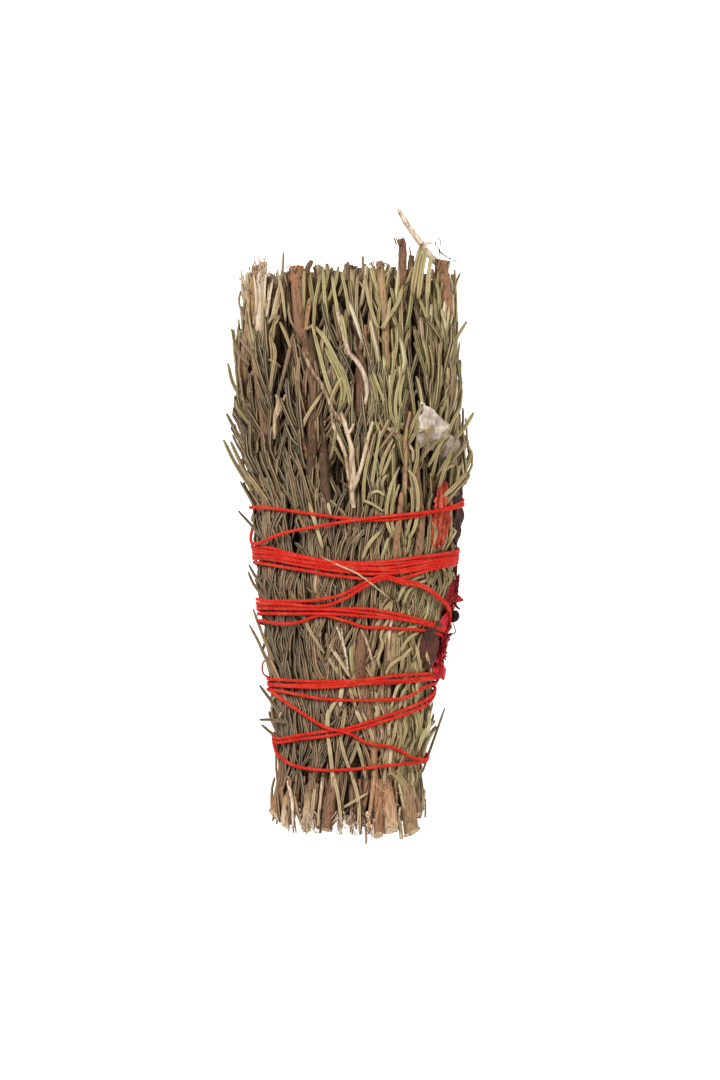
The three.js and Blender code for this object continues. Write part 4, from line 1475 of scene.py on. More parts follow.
OUTER_SPRIGS = (
    Sprig(
        8, 9, -75, 67.0, 54, 1.8, 0.55, 0.06, ((54, 68),), tone=0.65, green=0.6, falling=0.4,
        below=-0.1, bends=((38, 9), (49, 19), (64, 26.5)), tints=((40, 0.4, 0.4), (52, 0.55, 0.8)),
    ),
    Sprig(
        26, 32, -74.3, 62, bare=((-76, -70),), stem=1.4, bark=0.5, tone=0.67, green=0.72,
        falling=0.4, below=-0.08,
    ),
    Sprig(
        41, 55, -78.6, 71.2, 62, 1.15, 0.55, bare=((-78, -66), (-9, 25), (62, 70)),
        tone=0.64, green=0.75, bends=((-77, 36), (-60, 41), (20, 52), (64, 58)), falling=0.4,
        tints=((-70, 0.62, 0.3), (-40, 0.6, 0.4), (12, 0.55, 0.6), (60, 0.45, 0.9)),
        girth=((-70, 1.5), (-40, 1.0), (0, 1.1), (10, 0.6), (40, 0.7), (62, 0.9)),
    ),
    Sprig(
        58, 71, -78, 65.5, 62, 1.1, 0.66, bare=((-76, -66), (-38, -27), (40, 64)),
        tone=0.6, green=0.68, falling=0.35, below=0.08,
        girth=((-70, 1.7), (-60, 1.2), (0, 0.9), (64, 1.0)),
        tints=((-74, 0.8, 0.5), (-66, 0.66, 0.7), (-50, 0.66, 0.25)),
    ),
    Sprig(
        76, 86, -78.3, 61, 62, 1.5, 0.5, bare=((-78, -27), (28, 41)), tone=0.36, green=0.5,
        warm=0.55, falling=0.3, below=0.28,
        bends=((-77, 68), (-60, 69), (-50, 73), (-42, 80), (-34, 85.5), (-20, 84), (20, 84),
               (32, 84), (42, 83), (64, 86)),
        girth=((-70, 0.85), (-62, 0.6), (-50, 0.6), (-43, 0.95), (-36, 1.25), (-20, 1.0),
               (24, 0.8), (31, 1.3), (38, 1.15), (42, 0.7)),
        tints=((-70, 0.66, 0.8), (-45, 0.6, 0.5), (-35, 0.52, 0.75), (20, 0.25, 0.9),
               (36, 0.34, 1.0)),
    ),
    Sprig(
        99, 108, -76.8, 62, 62, 1.3, 0.3, bare=((-76, -64), (8, 17), (32, 45)),
        tone=0.31, green=0.4, full=0.85,
        bends=((-77, 107), (-60, 101), (0, 104), (12, 108), (64, 108)),
        tints=((-70, 0.5, 0.95), (-40, 0.3, 0.3), (10, 0.3, 0.5), (38, 0.25, 0.3)),
        girth=((-70, 1.15), (-58, 0.9)),
    ),
    Sprig(
        124, 129, -76.8, 64.8, 52, 1.55, 0.56, bare=((-76, -66), (14, 43), (48, 66)), tone=0.28,
        green=0.35, full=0.95,
        bends=((10, 118), (33, 109), (40, 110), (49, 114.5), (64, 121)),
        girth=((-70, 0.7), (0, 0.7), (33, 0.85), (45, 0.85), (60, 1.2)),
        tints=((-72, 0.85, 0.1), (-60, 0.45, 0.3), (20, 0.26, 0.8), (38, 0.38, 0.4), (50, 0.5, 0.8),
               (62, 0.68, 1)),
    ),
    Sprig(
        147, 149, -76.2, 66.2, 62, 1.0, 0.95, bare=((-76, -68), (18, 66)), tone=0.29, green=0.35,
        bends=((12, 147), (30, 145.5), (64, 149)),
        tints=((-74, 0.9, 0.3), (-64, 0.6, 0.6), (15, 0.55, 0.5), (45, 0.62, 0.45),
               (51, 0.98, 0.15), (64, 1.1, 0.0)),
    ),
    Sprig(
        169, 168, -75.3, 65.8, 60, 1.6, 0.45, bare=((-75, -60), (-19, -9), (-4, 6), (27, 66)),
        tone=0.3, green=0.35,
        bends=((-77, 162), (-60, 166), (-30, 167), (-14, 164), (0, 160), (12, 163), (35, 168),
               (58, 158), (64, 157)),
        girth=((-76, 1.15), (-64, 0.9), (-20, 0.75), (10, 0.75), (50, 0.8), (64, 0.75)),
        tints=((-75, 0.85, 0.7), (-72, 0.6, 0.75), (-60, 0.5, 0.7), (-14, 0.5, 0.65),
               (28, 0.55, 0.5), (50, 0.68, 0.4), (64, 0.66, 0.4)),
    ),
    Sprig(190, 190, -74, 63, 62, 1.3, 0.4, tone=0.37, green=0.3, share=0.86),
    Sprig(211, 211, -76, 64, 62, 1.6, 0.35, bare=((-77, -70),), tone=0.46, green=0.4),
    Sprig(231, 231, -73.5, 62, 62, 1.3, 0.3, tone=0.5, green=0.45),
    Sprig(251, 250, -75.5, 65, 60, 1.6, 0.45, bare=((-76, -69), (-30, -10)), tone=0.48, green=0.5),
    Sprig(270, 270, -74, 63, 62, 1.3, 0.5, tone=0.5, green=0.45),
    Sprig(289, 290, -76.5, 62, 62, 1.3, 0.35, bare=((20, 50),), tone=0.5, green=0.5, falling=0.2),
    Sprig(309, 309, -73, 64.5, 60, 1.7, 0.5, bare=((-74, -66),), tone=0.5, green=0.55, warm=0.7),
    Sprig(329, 329, -75, 63, 62, 1.3, 0.35, tone=0.52, green=0.55, falling=0.3),
    Sprig(349, 350, -74, 64, 62, 1.6, 0.4, tone=0.55, green=0.55, share=0.86),
)
INNER_COUNT = 8

# Outlines of the leaf and the petals, as degrees and y
DRY_LEAF = (
    (51.4, 31), (44.4, 29.2), (32.5, 25.6), (30, 22.8), (21.5, 21.4), (23.6, 17.6), (38.7, 17.2),
    (46, 19.5), (51.4, 19.4), (56, 21.8), (58, 24.6), (55, 26.6), (51.4, 28),
)
MAROON_PETAL = (
    (21, 1), (22, 4.5), (25, 7), (21, 9.2), (15, 12.4), (9, 11.2), (3, 12.6), (-4, 11.4), (-7, 7.4),
    (-10.5, 4), (-7, 0.6), (-7, -3), (1, -3.4), (8, -5), (14, -2.6),
)
RED_STRIP = ((43, -4.6), (43, 2), (41, 8), (35, 12.6), (29, 9), (27, 2), (28, -3), (36, -5.4))
BROWN_PETAL = (
    (38.2, -24.3), (45.2, -27.4), (44, -30.6), (39.4, -33.2), (29.9, -36.3), (24.6, -34.2),
    (22.3, -31.7), (25, -28.6), (24, -24.6), (31, -23.6),
)
# Dark gaps among the needles of the upper face: x, y, half the width and half the length
GAPS = ((-7.5, 24, 4.2, 10), (3.0, 48.5, 3.0, 6))
# Each outline with the share of the way out at which it lies
SHEETS = ((DRY_LEAF, 1.03), (MAROON_PETAL, 0.98), (RED_STRIP, 0.975), (BROWN_PETAL, 1.02))
# Below this height the gaps don't show
FACE_Z = 28
# What a needle's tone gains at each y
PALER = ((-15, 0), (10, -0.05), (22, -0.12), (36, -0.1), (50, 0.0), (62, 0.22))
# At each y, how far needles may stand out on the right and on the left
WIDEST_Y = (-5, 20, 33, 44, 60)
WIDEST = {1: (60, 29.5, 28.8, 26.4, 26), -1: (60, 31, 27.8, 27.6, 26.4)}
# Roughly the way out of the upper face, for strands that lie on it
TILTED = (0.05, 0.1, 1.0)


def hides_stem(points: Array) -> Array:
    """Finds needles that would lie over a bare stretch of an outer stem.

    Args:
        points: for each needle, rows of x, y and z along it.

    Returns:
        1 for each such needle, otherwise 0.
    """
    angle, share = BUNDLE.read(points)
    y = points[..., 1]
    wide = BUNDLE.outline(y)[0]
    hidden = np.zeros(len(points))
    for s in OUTER_SPRIGS:
        if s.bare:
            apart = np.abs((angle - s.angle(y) + math.pi) % (2 * math.pi) - math.pi) * wide
            over = (apart < 0.75 * s.radius(y)) & (s.shown(y) > 0.6) & (share > s.share)
            hidden = np.maximum(hidden, over.sum(axis=1) > 1)
    return hidden


def over_gap(points: Array) -> Array:
    """Finds points over the dark gaps of the upper face.

    Args:
        points: rows of x, y and z.

    Returns:
        True for each such point.
    """
    over = np.zeros(len(points), dtype=bool)
    for x, y, wide, long in GAPS:
        over |= np.hypot((points[:, 0] - x) / wide, (points[:, 1] - y) / long) < 1
    return over & (points[:, 2] > FACE_Z)


def under_sheets(angle: Array, y: Array, cap: Array) -> Array:
    """Lowers the cap on needles where they lie under the leaf or a petal.

    Args:
        angle: directions from +X, in radians.
        y: places along the bundle.
        cap: the cap there, as a share of the way out.

    Returns:
        The new cap.
    """
    for corners, share in SHEETS:
        low, high = np.min(corners, axis=0), np.max(corners, axis=0)
        across = (np.degrees(angle) - (low[0] + high[0]) / 2) / (high[0] - low[0]) * 2
        along = (y - (low[1] + high[1]) / 2) / (high[1] - low[1]) * 2
        cap = np.where(np.hypot(across, along) < 0.9, np.minimum(cap, share - 0.05), cap)
    return cap


def keep_within(middles: Array) -> None:
    """Brings needles that stand out past the bundle's sides most of the way back.

    Args:
        middles: rows of x, y and z, which are changed.
    """
    for way, limits in WIDEST.items():
        over = way * middles[..., 0] - np.interp(middles[..., 1], WIDEST_Y, limits)
        middles[..., 0] -= way * 0.65 * np.maximum(over, 0)


@dataclass(frozen=True)
class NeedleHabit:
    """How needles stand on a stem.

    Args:
        spacing: distance between one whorl and the next.
        whorl: how many needles in each.
        length: shortest and longest.
        half_width: of a needle.
        half_thickness: of a needle.
        rings: share of what is left of its length at each ring.
        section: the needle's section.
        shoots: how many side shoots a sprig has.
        profile: share of the way along a needle, and of its width there.
        unopened: share of needles that are short.
        lowest: no needle's middle lies below this height.
    """

    spacing: float = 2.6
    whorl: int = 4
    length: Point = (9.0, 16.5)
    half_width: float = 0.52
    half_thickness: float = 0.48
    rings: tuple[float, ...] = (0, 0.07, 0.16, 0.3, 0.5, 0.74, 0.94, 1.0)
    section: Array = field(default_factory=lambda: NEEDLE_SECTION)
    shoots: int = 8
    profile: Table = ((0, 0.6), (0.07, 0.8), (0.2, 1), (0.8, 0.98), (0.96, 0.84), (1, 0.5))
    unopened: float = 0.12
    lowest: float = 0.68


@dataclass
class Roots:
    """Where needles grow on a stem, with one row or value for each.

    Args:
        place: x, y and z.
        onward: the stem's direction there.
        out: the way out of the bundle, square to the stem.
        side: the way across both.
        turn: how far round the stem from the way out, in radians.
        paler: what the whorl adds to the needle's tone.
    """

    place: Array
    onward: Array
    out: Array
    side: Array
    turn: Array
    paler: Array


@dataclass
class LeafySprig:
    """A sprig's stem with all its needles, as one piece.

    Args:
        sprig: its place.
        layer: outer or inner.
        number: its number in its layer, from 1.
        habit: how its needles stand.
        base: no needle lies deeper than this share of the way out.
        top: no needle of an inner sprig lies further out than this.
        strands: needles and fibres at places of their own.
    """

    sprig: Sprig
    layer: Layer
    number: int
    habit: NeedleHabit = field(default_factory=NeedleHabit)
    base: float = 0.58
    top: float = 0.9
    strands: Sequence[Strand] = ()

    # Points along a needle before its rings are chosen
    STEPS = 40
    STEM_RINGS, SHOOT_RINGS, FILLER_RINGS, LINE_POINTS = 130, 20, 56, 90
    FILLERS = 5
    # Length of a side shoot's needles over that of the main stem's
    SMALL = 0.82
    # No shoot's middle lies below this height
    SHOOT_LOWEST = 0.8
    # How far from the stem's middle a needle starts
    FROM_MIDDLE = 0.4
    # Share of its length within which a needle bends away from the stem
    BEND_WITHIN = 0.12
    # How far up from its root the looseness that a needle feels is read
    AHEAD = 9.0

    def name(self) -> str:
        """The CAD node that it replaces."""
        return f"{self.layer.value}_{self.number:02d}"

    def add_stem(self, skin: Skin, rng: np.random.Generator) -> None:
        """Adds the woody stem, with the swellings where needles stood, cut ends and painted shade
        under its needles.

        Args:
            skin: where its faces go.
            rng: for what varies.
        """
        s = self.sprig
        y = np.linspace(s.foot, s.head, self.STEM_RINGS)
        middle = s.middle(y)
        phase = rng.uniform(*ANY_PHASE, 4)
        middle[:, 0] += 0.35 * np.sin(y / 9 + phase[0]) + 0.2 * np.sin(y / 3.4 + phase[1])
        middle[:, 2] += 0.25 * np.sin(y / 11 + phase[2]) + 0.1 * np.sin(y / 4 + phase[3])
        leafy = ramp_between(y, s.foot + 7, s.foot + 15) * ramp_between(-y, -s.high, -s.high + 6)
        full, shown = s.radius(y), s.shown(y)
        thin = 0.9 + shown * (full - 0.9)
        radius = full * (1 - leafy) + leafy * thin
        knobs = 1 + 0.13 * np.maximum(0, np.sin(y * 2 * math.pi / 4.3 + phase[0])) ** 6
        radius = radius * knobs * (1 + 0.035 * rng.standard_normal(len(y)))
        middle[:, 2] = np.maximum(middle[:, 2], radius * 1.2 + 0.1)
        section = rough_section(rng, 11, 0.07)
        at, bark, warm = np.array(s.tints or ((0.0, s.bark, s.warm),)).T
        # Painted shade: the bark is darker along the leafy stretch, where needles hide the stem
        dark = np.interp(y, at, bark) * (0.55 + 0.45 * np.maximum(shown, 1 - leafy))
        tone = np.clip(dark + 0.05 * np.sin(y / 7 + phase[1]), 0, 1)
        slant = (rng.uniform(0.5, 1.2), rng.uniform(0.0, 0.25))
        add_tube(
            skin, middle, radius, section, tone, Slot.BARK, (Slot.CUT, Slot.CUT),
            BUNDLE.outward(s.angle(y)), green=np.interp(y, at, warm), slant=slant,
        )

    def add_fillers(self, skin: Skin, rng: np.random.Generator) -> None:
        """Adds bare woody shoots that run beside an inner sprig's stem.

        Args:
            skin: where their faces go.
            rng: for what varies.
        """
        s = self.sprig
        for _ in range(self.FILLERS):
            low, high = s.foot + rng.uniform(-1, 3), s.head - rng.uniform(-1, 4)
            y = np.linspace(low, high, self.FILLER_RINGS)
            phase, across = rng.uniform(*ANY_PHASE), rng.uniform(-24, 24)
            angle = np.radians(s.foot_at + across + 4 * np.sin(y / 14 + phase))
            share = rng.uniform(0.3, 0.76) + 0.03 * np.sin(y / 9 + phase)
            radius = rng.uniform(0.6, 1.35) * (1 + 0.06 * rng.standard_normal(len(y)))
            section = rough_section(rng, 8, 0.1)
            add_tube(
                skin, BUNDLE.place(angle, share, y), radius, section, rng.uniform(0.25, 0.7),
                Slot.BARK, (Slot.CUT, Slot.CUT), BUNDLE.outward(angle),
                green=rng.uniform(0.1, 0.9), slant=(rng.uniform(0.1, 0.9), rng.uniform(0.0, 0.3)),
            )

    def add_shoots(self, skin: Skin, rng: np.random.Generator) -> None:
        """Adds leafy side shoots, some of which hang towards the foot.

        Args:
            skin: where their faces go.
            rng: for what varies.
        """
        s = self.sprig
        t = np.linspace(0, 1, self.SHOOT_RINGS)
        count = self.habit.shoots
        for number in range(count):
            down = rng.random() < s.falling
            long = rng.uniform(14, 28)
            first = s.foot + 5 + (s.high - s.foot - 26) * (number + rng.uniform(0, 1)) / count
            sideways = rng.uniform(6, 12) * (1 if number % 2 else -1)
            if down:
                long, first = long * 0.7, rng.uniform(-44, -14)
            y = first + long * t * (-1 if down else 1)
            angle = s.angle(y) + np.radians(sideways) * (1 - (1 - t) ** 2)
            share = s.share + 0.02 + 0.06 * t
            if self.layer is Layer.OUTER and rng.random() < 0.4:
                share = np.minimum(s.share + 0.14 * np.sin(t * 2.2), PRESS.cap(angle, y) - 0.03)
            line = BUNDLE.place(angle, share, y)
            line[:, 2] = np.maximum(line[:, 2], self.SHOOT_LOWEST)
            radius = np.linspace(0.6, 0.32, len(t)) * (1 + 0.06 * rng.standard_normal(len(t)))
            tone = min(0.75, s.bark + rng.uniform(-0.05, 0.25))
            warm = min(1.0, s.warm + rng.uniform(0, 0.6))
            add_tube(
                skin, line, radius, round_section(7), tone, Slot.BARK, (Slot.CUT, Slot.CUT),
                BUNDLE.outward(angle), green=warm,
            )
            self.add_whorls(skin, rng, line, self.SMALL, False)

    def find_roots(self, rng: np.random.Generator, line: Array, main: bool) -> Roots:
        """Places the needles' roots in whorls up a stem.

        Args:
            rng: for what varies.
            line: the stem's middle, as rows of x, y and z from root to tip.
            main: whether it is the main stem, whose bare stretches stay bare.

        Returns:
            The roots of the needles that are left.
        """
        s, h = self.sprig, self.habit
        run = run_along(line)
        rows = np.arange(0.5, run[-1], h.spacing)
        at = np.repeat(rows, h.whorl) + rng.normal(0, 0.4, len(rows) * h.whorl)
        root, onward = (
            np.stack([np.interp(at, run, values[:, k]) for k in range(3)], axis=-1)
            for values in (line, unit(np.gradient(line, axis=0)))
        )
        onward = unit(onward)
        out = BUNDLE.outward(BUNDLE.read(root)[0])
        side = unit(np.cross(onward, out))
        out = np.cross(side, onward)
        turn = np.tile(np.arange(h.whorl) * 2 * math.pi / h.whorl, len(rows))
        turn = turn + np.repeat(np.arange(len(rows)) * math.pi / h.whorl, h.whorl)
        turn = (turn + rng.normal(0, 0.3, len(turn)) + math.pi) % (2 * math.pi) - math.pi
        chance = np.where(np.abs(turn) < 1.9, 0.94 * s.full, 0.5)
        chance = chance * (1 - 0.45 * ramp_between(-root[:, 1], 64, 72))
        keep = rng.random(len(turn)) < chance
        if main:
            keep &= ~((s.shown(root[:, 1] + 3) > 0.4) & (np.abs(turn) < 1.2))
        paler = np.repeat(rng.normal(0, 0.07, len(rows)), h.whorl)
        return Roots(*(v[keep] for v in (root, onward, out, side, turn, paler)))

    def bend(self, rng: np.random.Generator, roots: Roots, small: float) -> tuple[Array, Array]:
        """Bends each needle away from its stem, and further where the bundle is free.

        Args:
            rng: for what varies.
            roots: where the needles grow.
            small: their length over that on a main stem.

        Returns:
            For each needle, the points along it, and the way in which it spreads.
        """
        h, count = self.habit, len(roots.turn)
        free = looseness(roots.place[:, 1] + self.AHEAD)
        outwards = np.maximum(np.cos(roots.turn), 0)
        length = small * rng.uniform(*h.length, count)
        length = length * np.where(rng.random(count) < h.unopened, 0.6, 1.0)
        lean_from = rng.uniform(40, 70, count)
        lean_mid = 8 + (3 + 11 * free) * outwards + 2 * np.abs(np.sin(roots.turn))
        lean_mid = np.abs(rng.normal(lean_mid, 5 + 2 * free, count))
        lean_tip = rng.normal(-4 + 5 * free, 7, count)
        t = np.linspace(0, 1, self.STEPS + 1)
        lean = lean_tip[:, None] * t + lean_mid[:, None] * (1 - t)
        early = np.exp(-t / self.BEND_WITHIN)
        lean = np.radians(lean + (lean_from - lean_mid)[:, None] * early)
        step = (length / self.STEPS)[:, None]
        away = self.FROM_MIDDLE + np.cumsum(np.sin(lean) * step, axis=1)
        away = away - np.sin(lean[:, :1]) * step
        ahead = np.cumsum(np.cos(lean) * step, axis=1) - np.cos(lean[:, :1]) * step
        spread = roots.out * np.cos(roots.turn)[:, None] + roots.side * np.sin(roots.turn)[:, None]
        fine = roots.place[:, None] + spread[:, None] * away[..., None]
        fine = fine + roots.onward[:, None] * ahead[..., None]
        sway = rng.normal(0, 1.7, count)[:, None] * t**2
        return fine + roots.side[:, None] * sway[..., None], spread

    def trim(self, rng: np.random.Generator, fine: Array) -> tuple[Array, Array, Array]:
        """Cuts needles off at the foot and the head, and thins them over stems and gaps.

        Args:
            rng: for what varies.
            fine: for each needle, the points along it.

        Returns:
            The middle of each ring, how far along its needle it is, and which needles are left.
        """
        count = len(fine)
        low_cut = self.sprig.foot + np.abs(rng.normal(0, 1.3, count))
        high_cut = HEAD_Y + rng.normal(-0.2, 0.7, count)
        inside = (fine[..., 1] > low_cut[:, None]) & (fine[..., 1] < high_cut[:, None])
        left = inside.sum(axis=1) > 0.2 * self.STEPS
        left &= rng.random(count) > 0.85 * hides_stem(fine[:, ::4])
        left &= rng.random(count) > 0.65 * over_gap(fine[:, self.STEPS // 2])
        first = inside.argmax(axis=1)
        last = self.STEPS - inside[:, ::-1].argmax(axis=1)
        index = first[:, None] + (last - first)[:, None] * np.array(self.habit.rings)
        low = np.minimum(index.astype(int), self.STEPS - 1)
        part = (index - low)[..., None]
        row = np.arange(count)[:, None]
        middles = fine[row, low] * (1 - part) + fine[row, low + 1] * part
        return middles, index / self.STEPS, left

    def press(
        self, rng: np.random.Generator, roots: Roots, middles: Array, reach: Array
    ) -> tuple[Array, Array, Array]:
        """Presses needles down wherever the thread, the surface or a sheet holds them.

        Args:
            rng: for what varies.
            roots: where the needles grow.
            middles: for each needle, the middle of each ring.
            reach: how far along its needle each ring is.

        Returns:
            The new middles, and the direction and the share of the way out of each.
        """
        count, y = len(middles), middles[..., 1]
        free = looseness(roots.place[:, 1] + self.AHEAD)
        angle, share = BUNDLE.read(middles)
        stray = (rng.random(count) < 0.04)[:, None] * ramp_between(reach, 0.5, 0.9) * 0.07
        highest = rng.uniform(0.98, 1.05 + 0.15 * free, count)[:, None]
        buried = rng.uniform(0.0, 0.1, count)[:, None] * (1 - 0.4 * looseness(y))
        cap = np.minimum(PRESS.cap(angle, y) + stray - buried, highest)
        cap = under_sheets(angle, y, cap)
        if self.layer is Layer.INNER:
            cap = np.full_like(cap, self.top)
        held = np.maximum(np.minimum(share, cap), self.base)
        middles = BUNDLE.place(angle, held, y)
        middles[..., 2] = np.maximum(middles[..., 2], self.habit.lowest)
        keep_within(middles)
        return middles, angle, held

    def colour(
        self, rng: np.random.Generator, roots: Roots, y: Array, deep: Array
    ) -> tuple[Array, Array]:
        """Gives each needle its colour: paler at the head, and browner and darker deep inside as
        painted shade.

        Args:
            rng: for what varies.
            roots: where the needles grow.
            y: the middle of each along the bundle.
            deep: 0 for the deepest to 1 for those outside, which sets their painted shade.

        Returns:
            Tone and green for each needle.
        """
        s = self.sprig
        left, down = -roots.place[:, 0], -roots.place[:, 1]
        head_left = ramp_between(left, 4, 16) * ramp_between(y, 34, 56)
        paler = read_off(PALER, y) + 0.38 * head_left + s.below * ramp_between(-y, 5, 20)
        tone = rng.normal(s.tone, 0.2, len(y)) + roots.paler + paler
        at_foot = ramp_between(down, 56, 70)
        left_below = ramp_between(left, -2, 8) * ramp_between(down, -4, 10)
        # Painted shade: needles that lie deeper in the bundle are made darker and browner
        tone = tone * (0.3 + 0.7 * deep) * (1 + 0.1 * at_foot) - 0.09 * left_below
        green = rng.normal(s.green, 0.33, len(y)) * (0.5 + 0.5 * deep) - 0.3 * at_foot
        dry_below = 0.42 * ramp_between(left, -14, -6) * ramp_between(-y, -6, 8)
        return np.clip(tone, 0, 1), np.clip(green - 0.4 * left_below - dry_below, 0, 1)

    def add_whorls(
        self, skin: Skin, rng: np.random.Generator, line: Array, small: float, main: bool
    ) -> None:
        """Adds whorls of needles up a stem.

        Args:
            skin: where they go.
            rng: for what varies.
            line: the stem's middle, as rows of x, y and z from root to tip.
            small: the needles' length over that on a main stem.
            main: whether it is the main stem, whose bare stretches stay bare.
        """
        h = self.habit
        roots = self.find_roots(rng, line, main)
        fine, spread = self.bend(rng, roots, small)
        middles, reach, left = self.trim(rng, fine)
        middles, angle, held = self.press(rng, roots, middles, reach)
        count = len(middles)
        width = h.half_width * rng.uniform(0.78, 1.18, count)[:, None]
        width = width * read_off(h.profile, reach)
        facing = BUNDLE.outward(angle) + 0.3 * spread[:, None]
        roll = rng.normal(0, 0.45, count)[:, None, None]
        facing = unit(facing + roll * roots.side[:, None])
        # How deep each needle lies, which sets its painted shade
        deep = ramp_between(held.mean(axis=1), 0.8, 0.98)
        tone, green = self.colour(rng, roots, middles[..., 1].mean(axis=1), deep)
        height = width * h.half_thickness / h.half_width
        parts = (middles, facing, width, height, tone, green, reach)
        middles, facing, width, height, tone, green, reach = (part[left] for part in parts)
        tubes(skin, middles, facing, width, height, h.section, tone, green=green, along=reach)

    def build(self, materials: Materials) -> bpy.types.Object:
        """Builds the sprig.

        Args:
            materials: needle, bark and cut wood.

        Returns:
            The piece, riding on the root and standing for its CAD node.
        """
        s = self.sprig
        rng = np.random.default_rng(100 * (1 + list(Layer).index(self.layer)) + self.number)
        skin = Skin()
        line = s.middle(np.linspace(s.foot - self.AHEAD, s.high, self.LINE_POINTS))
        self.add_whorls(skin, rng, line, 1.0, True)
        self.add_shoots(skin, rng)
        self.add_stem(skin, rng)
        if self.layer is Layer.INNER:
            self.add_fillers(skin, rng)
        for extra in (*self.strands, *EXTRAS.get(self.name(), ())):
            extra.add(skin)
        return finish_piece(skin, self.name(), "rosemary_leaf", materials)


@dataclass(frozen=True)
class Shoot:
    """A bare side shoot fused to a sprig.

    Args:
        points: x, y and z, from its root to its tip.
        radii: its radius at each of them.
        bark: its colour on the bark's scale.
        count: rings.
        rough: how uneven its radius is.
    """

    points: tuple[Place, ...]
    radii: tuple[float, ...]
    bark: float = 0.95
    count: int = 30
    rough: float = 0.06

    def add(self, skin: Skin) -> None:
        """Adds the shoot to its sprig's skin.

        Args:
            skin: where its faces go.
        """
        rng = np.random.default_rng(len(self.points) * 10 + int(self.points[0][1]) % 7)
        line = smooth_through(np.array(self.points), self.count)
        radius = spread_over(self.count, self.radii)
        radius = radius * (1 + self.rough * rng.standard_normal(self.count))
        ends = (Slot.CUT, Slot.CUT)
        add_tube(skin, line, radius, round_section(8), self.bark, Slot.BARK, ends, TILTED)


@dataclass(frozen=True)
class Frays:
    """Torn fibres at a stem's end.

    Args:
        low: x and y of the corner where they start.
        high: x and y of the opposite corner.
        count: how many.
        length: shortest and longest.
        heading: mean direction from +X, in degrees.
        spread: how much it varies.
        lowest: no fibre passes this y.
        highest: nor this one.
        bark: their colour on the bark's scale.
        seed: for their shapes.
        curl: how far they wind, from 0 for splinters.
        warm: how reddish they are.
        radius: thinnest and thickest at the root.
        share: how far out they start, least and most.
    """

    low: Point
    high: Point
    count: int
    length: Point = (4, 11)
    heading: float = -90.0
    spread: float = 24.0
    lowest: float = -79.0
    highest: float = 72.0
    bark: float = 0.8
    seed: int = 1
    curl: float = 0.12
    warm: float = 0.3
    radius: Point = (0.1, 0.22)
    share: Point = (0.97, 1.08)

    STEPS = 9

    def add(self, skin: Skin) -> None:
        """Adds the fibres to their sprig's skin.

        Args:
            skin: where their faces go.
        """
        rng = np.random.default_rng(self.seed)
        t = np.linspace(0, 1, self.STEPS)
        start = rng.uniform(self.low, self.high, (self.count, 2))
        heading = np.radians(rng.normal(self.heading, self.spread, self.count))
        length = rng.uniform(*self.length, self.count)
        curl = rng.normal(0, 1.0, self.count)[:, None]
        way = heading[:, None] + self.curl * (curl * t + 0.7 * np.sin(t * 9 + curl * 5))
        step = (length / (self.STEPS - 1))[:, None]
        x = start[:, :1] + np.cumsum(step * np.cos(way), axis=1)
        y = np.clip(start[:, 1:] + np.cumsum(step * np.sin(way), axis=1), self.lowest, self.highest)
        share = rng.uniform(*self.share, self.count)[:, None] + 0.03 * np.sin(t * 7 + curl)
        line = BUNDLE.on_face(x, y, share)
        radius = rng.uniform(*self.radius, self.count)[:, None] * (1 - 0.6 * t)
        up = np.broadcast_to(TILTED, line.shape)
        tone = np.clip(rng.normal(self.bark, 0.12, self.count), 0, 1)
        ends = (Slot.BARK, Slot.BARK)
        tubes(skin, line, up, radius, radius, round_section(4), tone, Slot.BARK, ends, self.warm)


def strips(left: float, right: float, count: int, seed: int, warm: float) -> Frays:
    """Strips of bark and dry needles that hang between the stems' ends at the foot.

    Args:
        left: x where they start.
        right: x where they end.
        count: how many.
        seed: for their shapes.
        warm: how reddish they are.

    Returns:
        The strips.
    """
    return Frays(
        (left, -63.5), (right, -60), count, (9, 14), spread=5, lowest=-77, bark=0.56, seed=seed,
        curl=0.08, warm=warm, radius=(0.35, 0.62), share=(0.86, 0.99),
    )


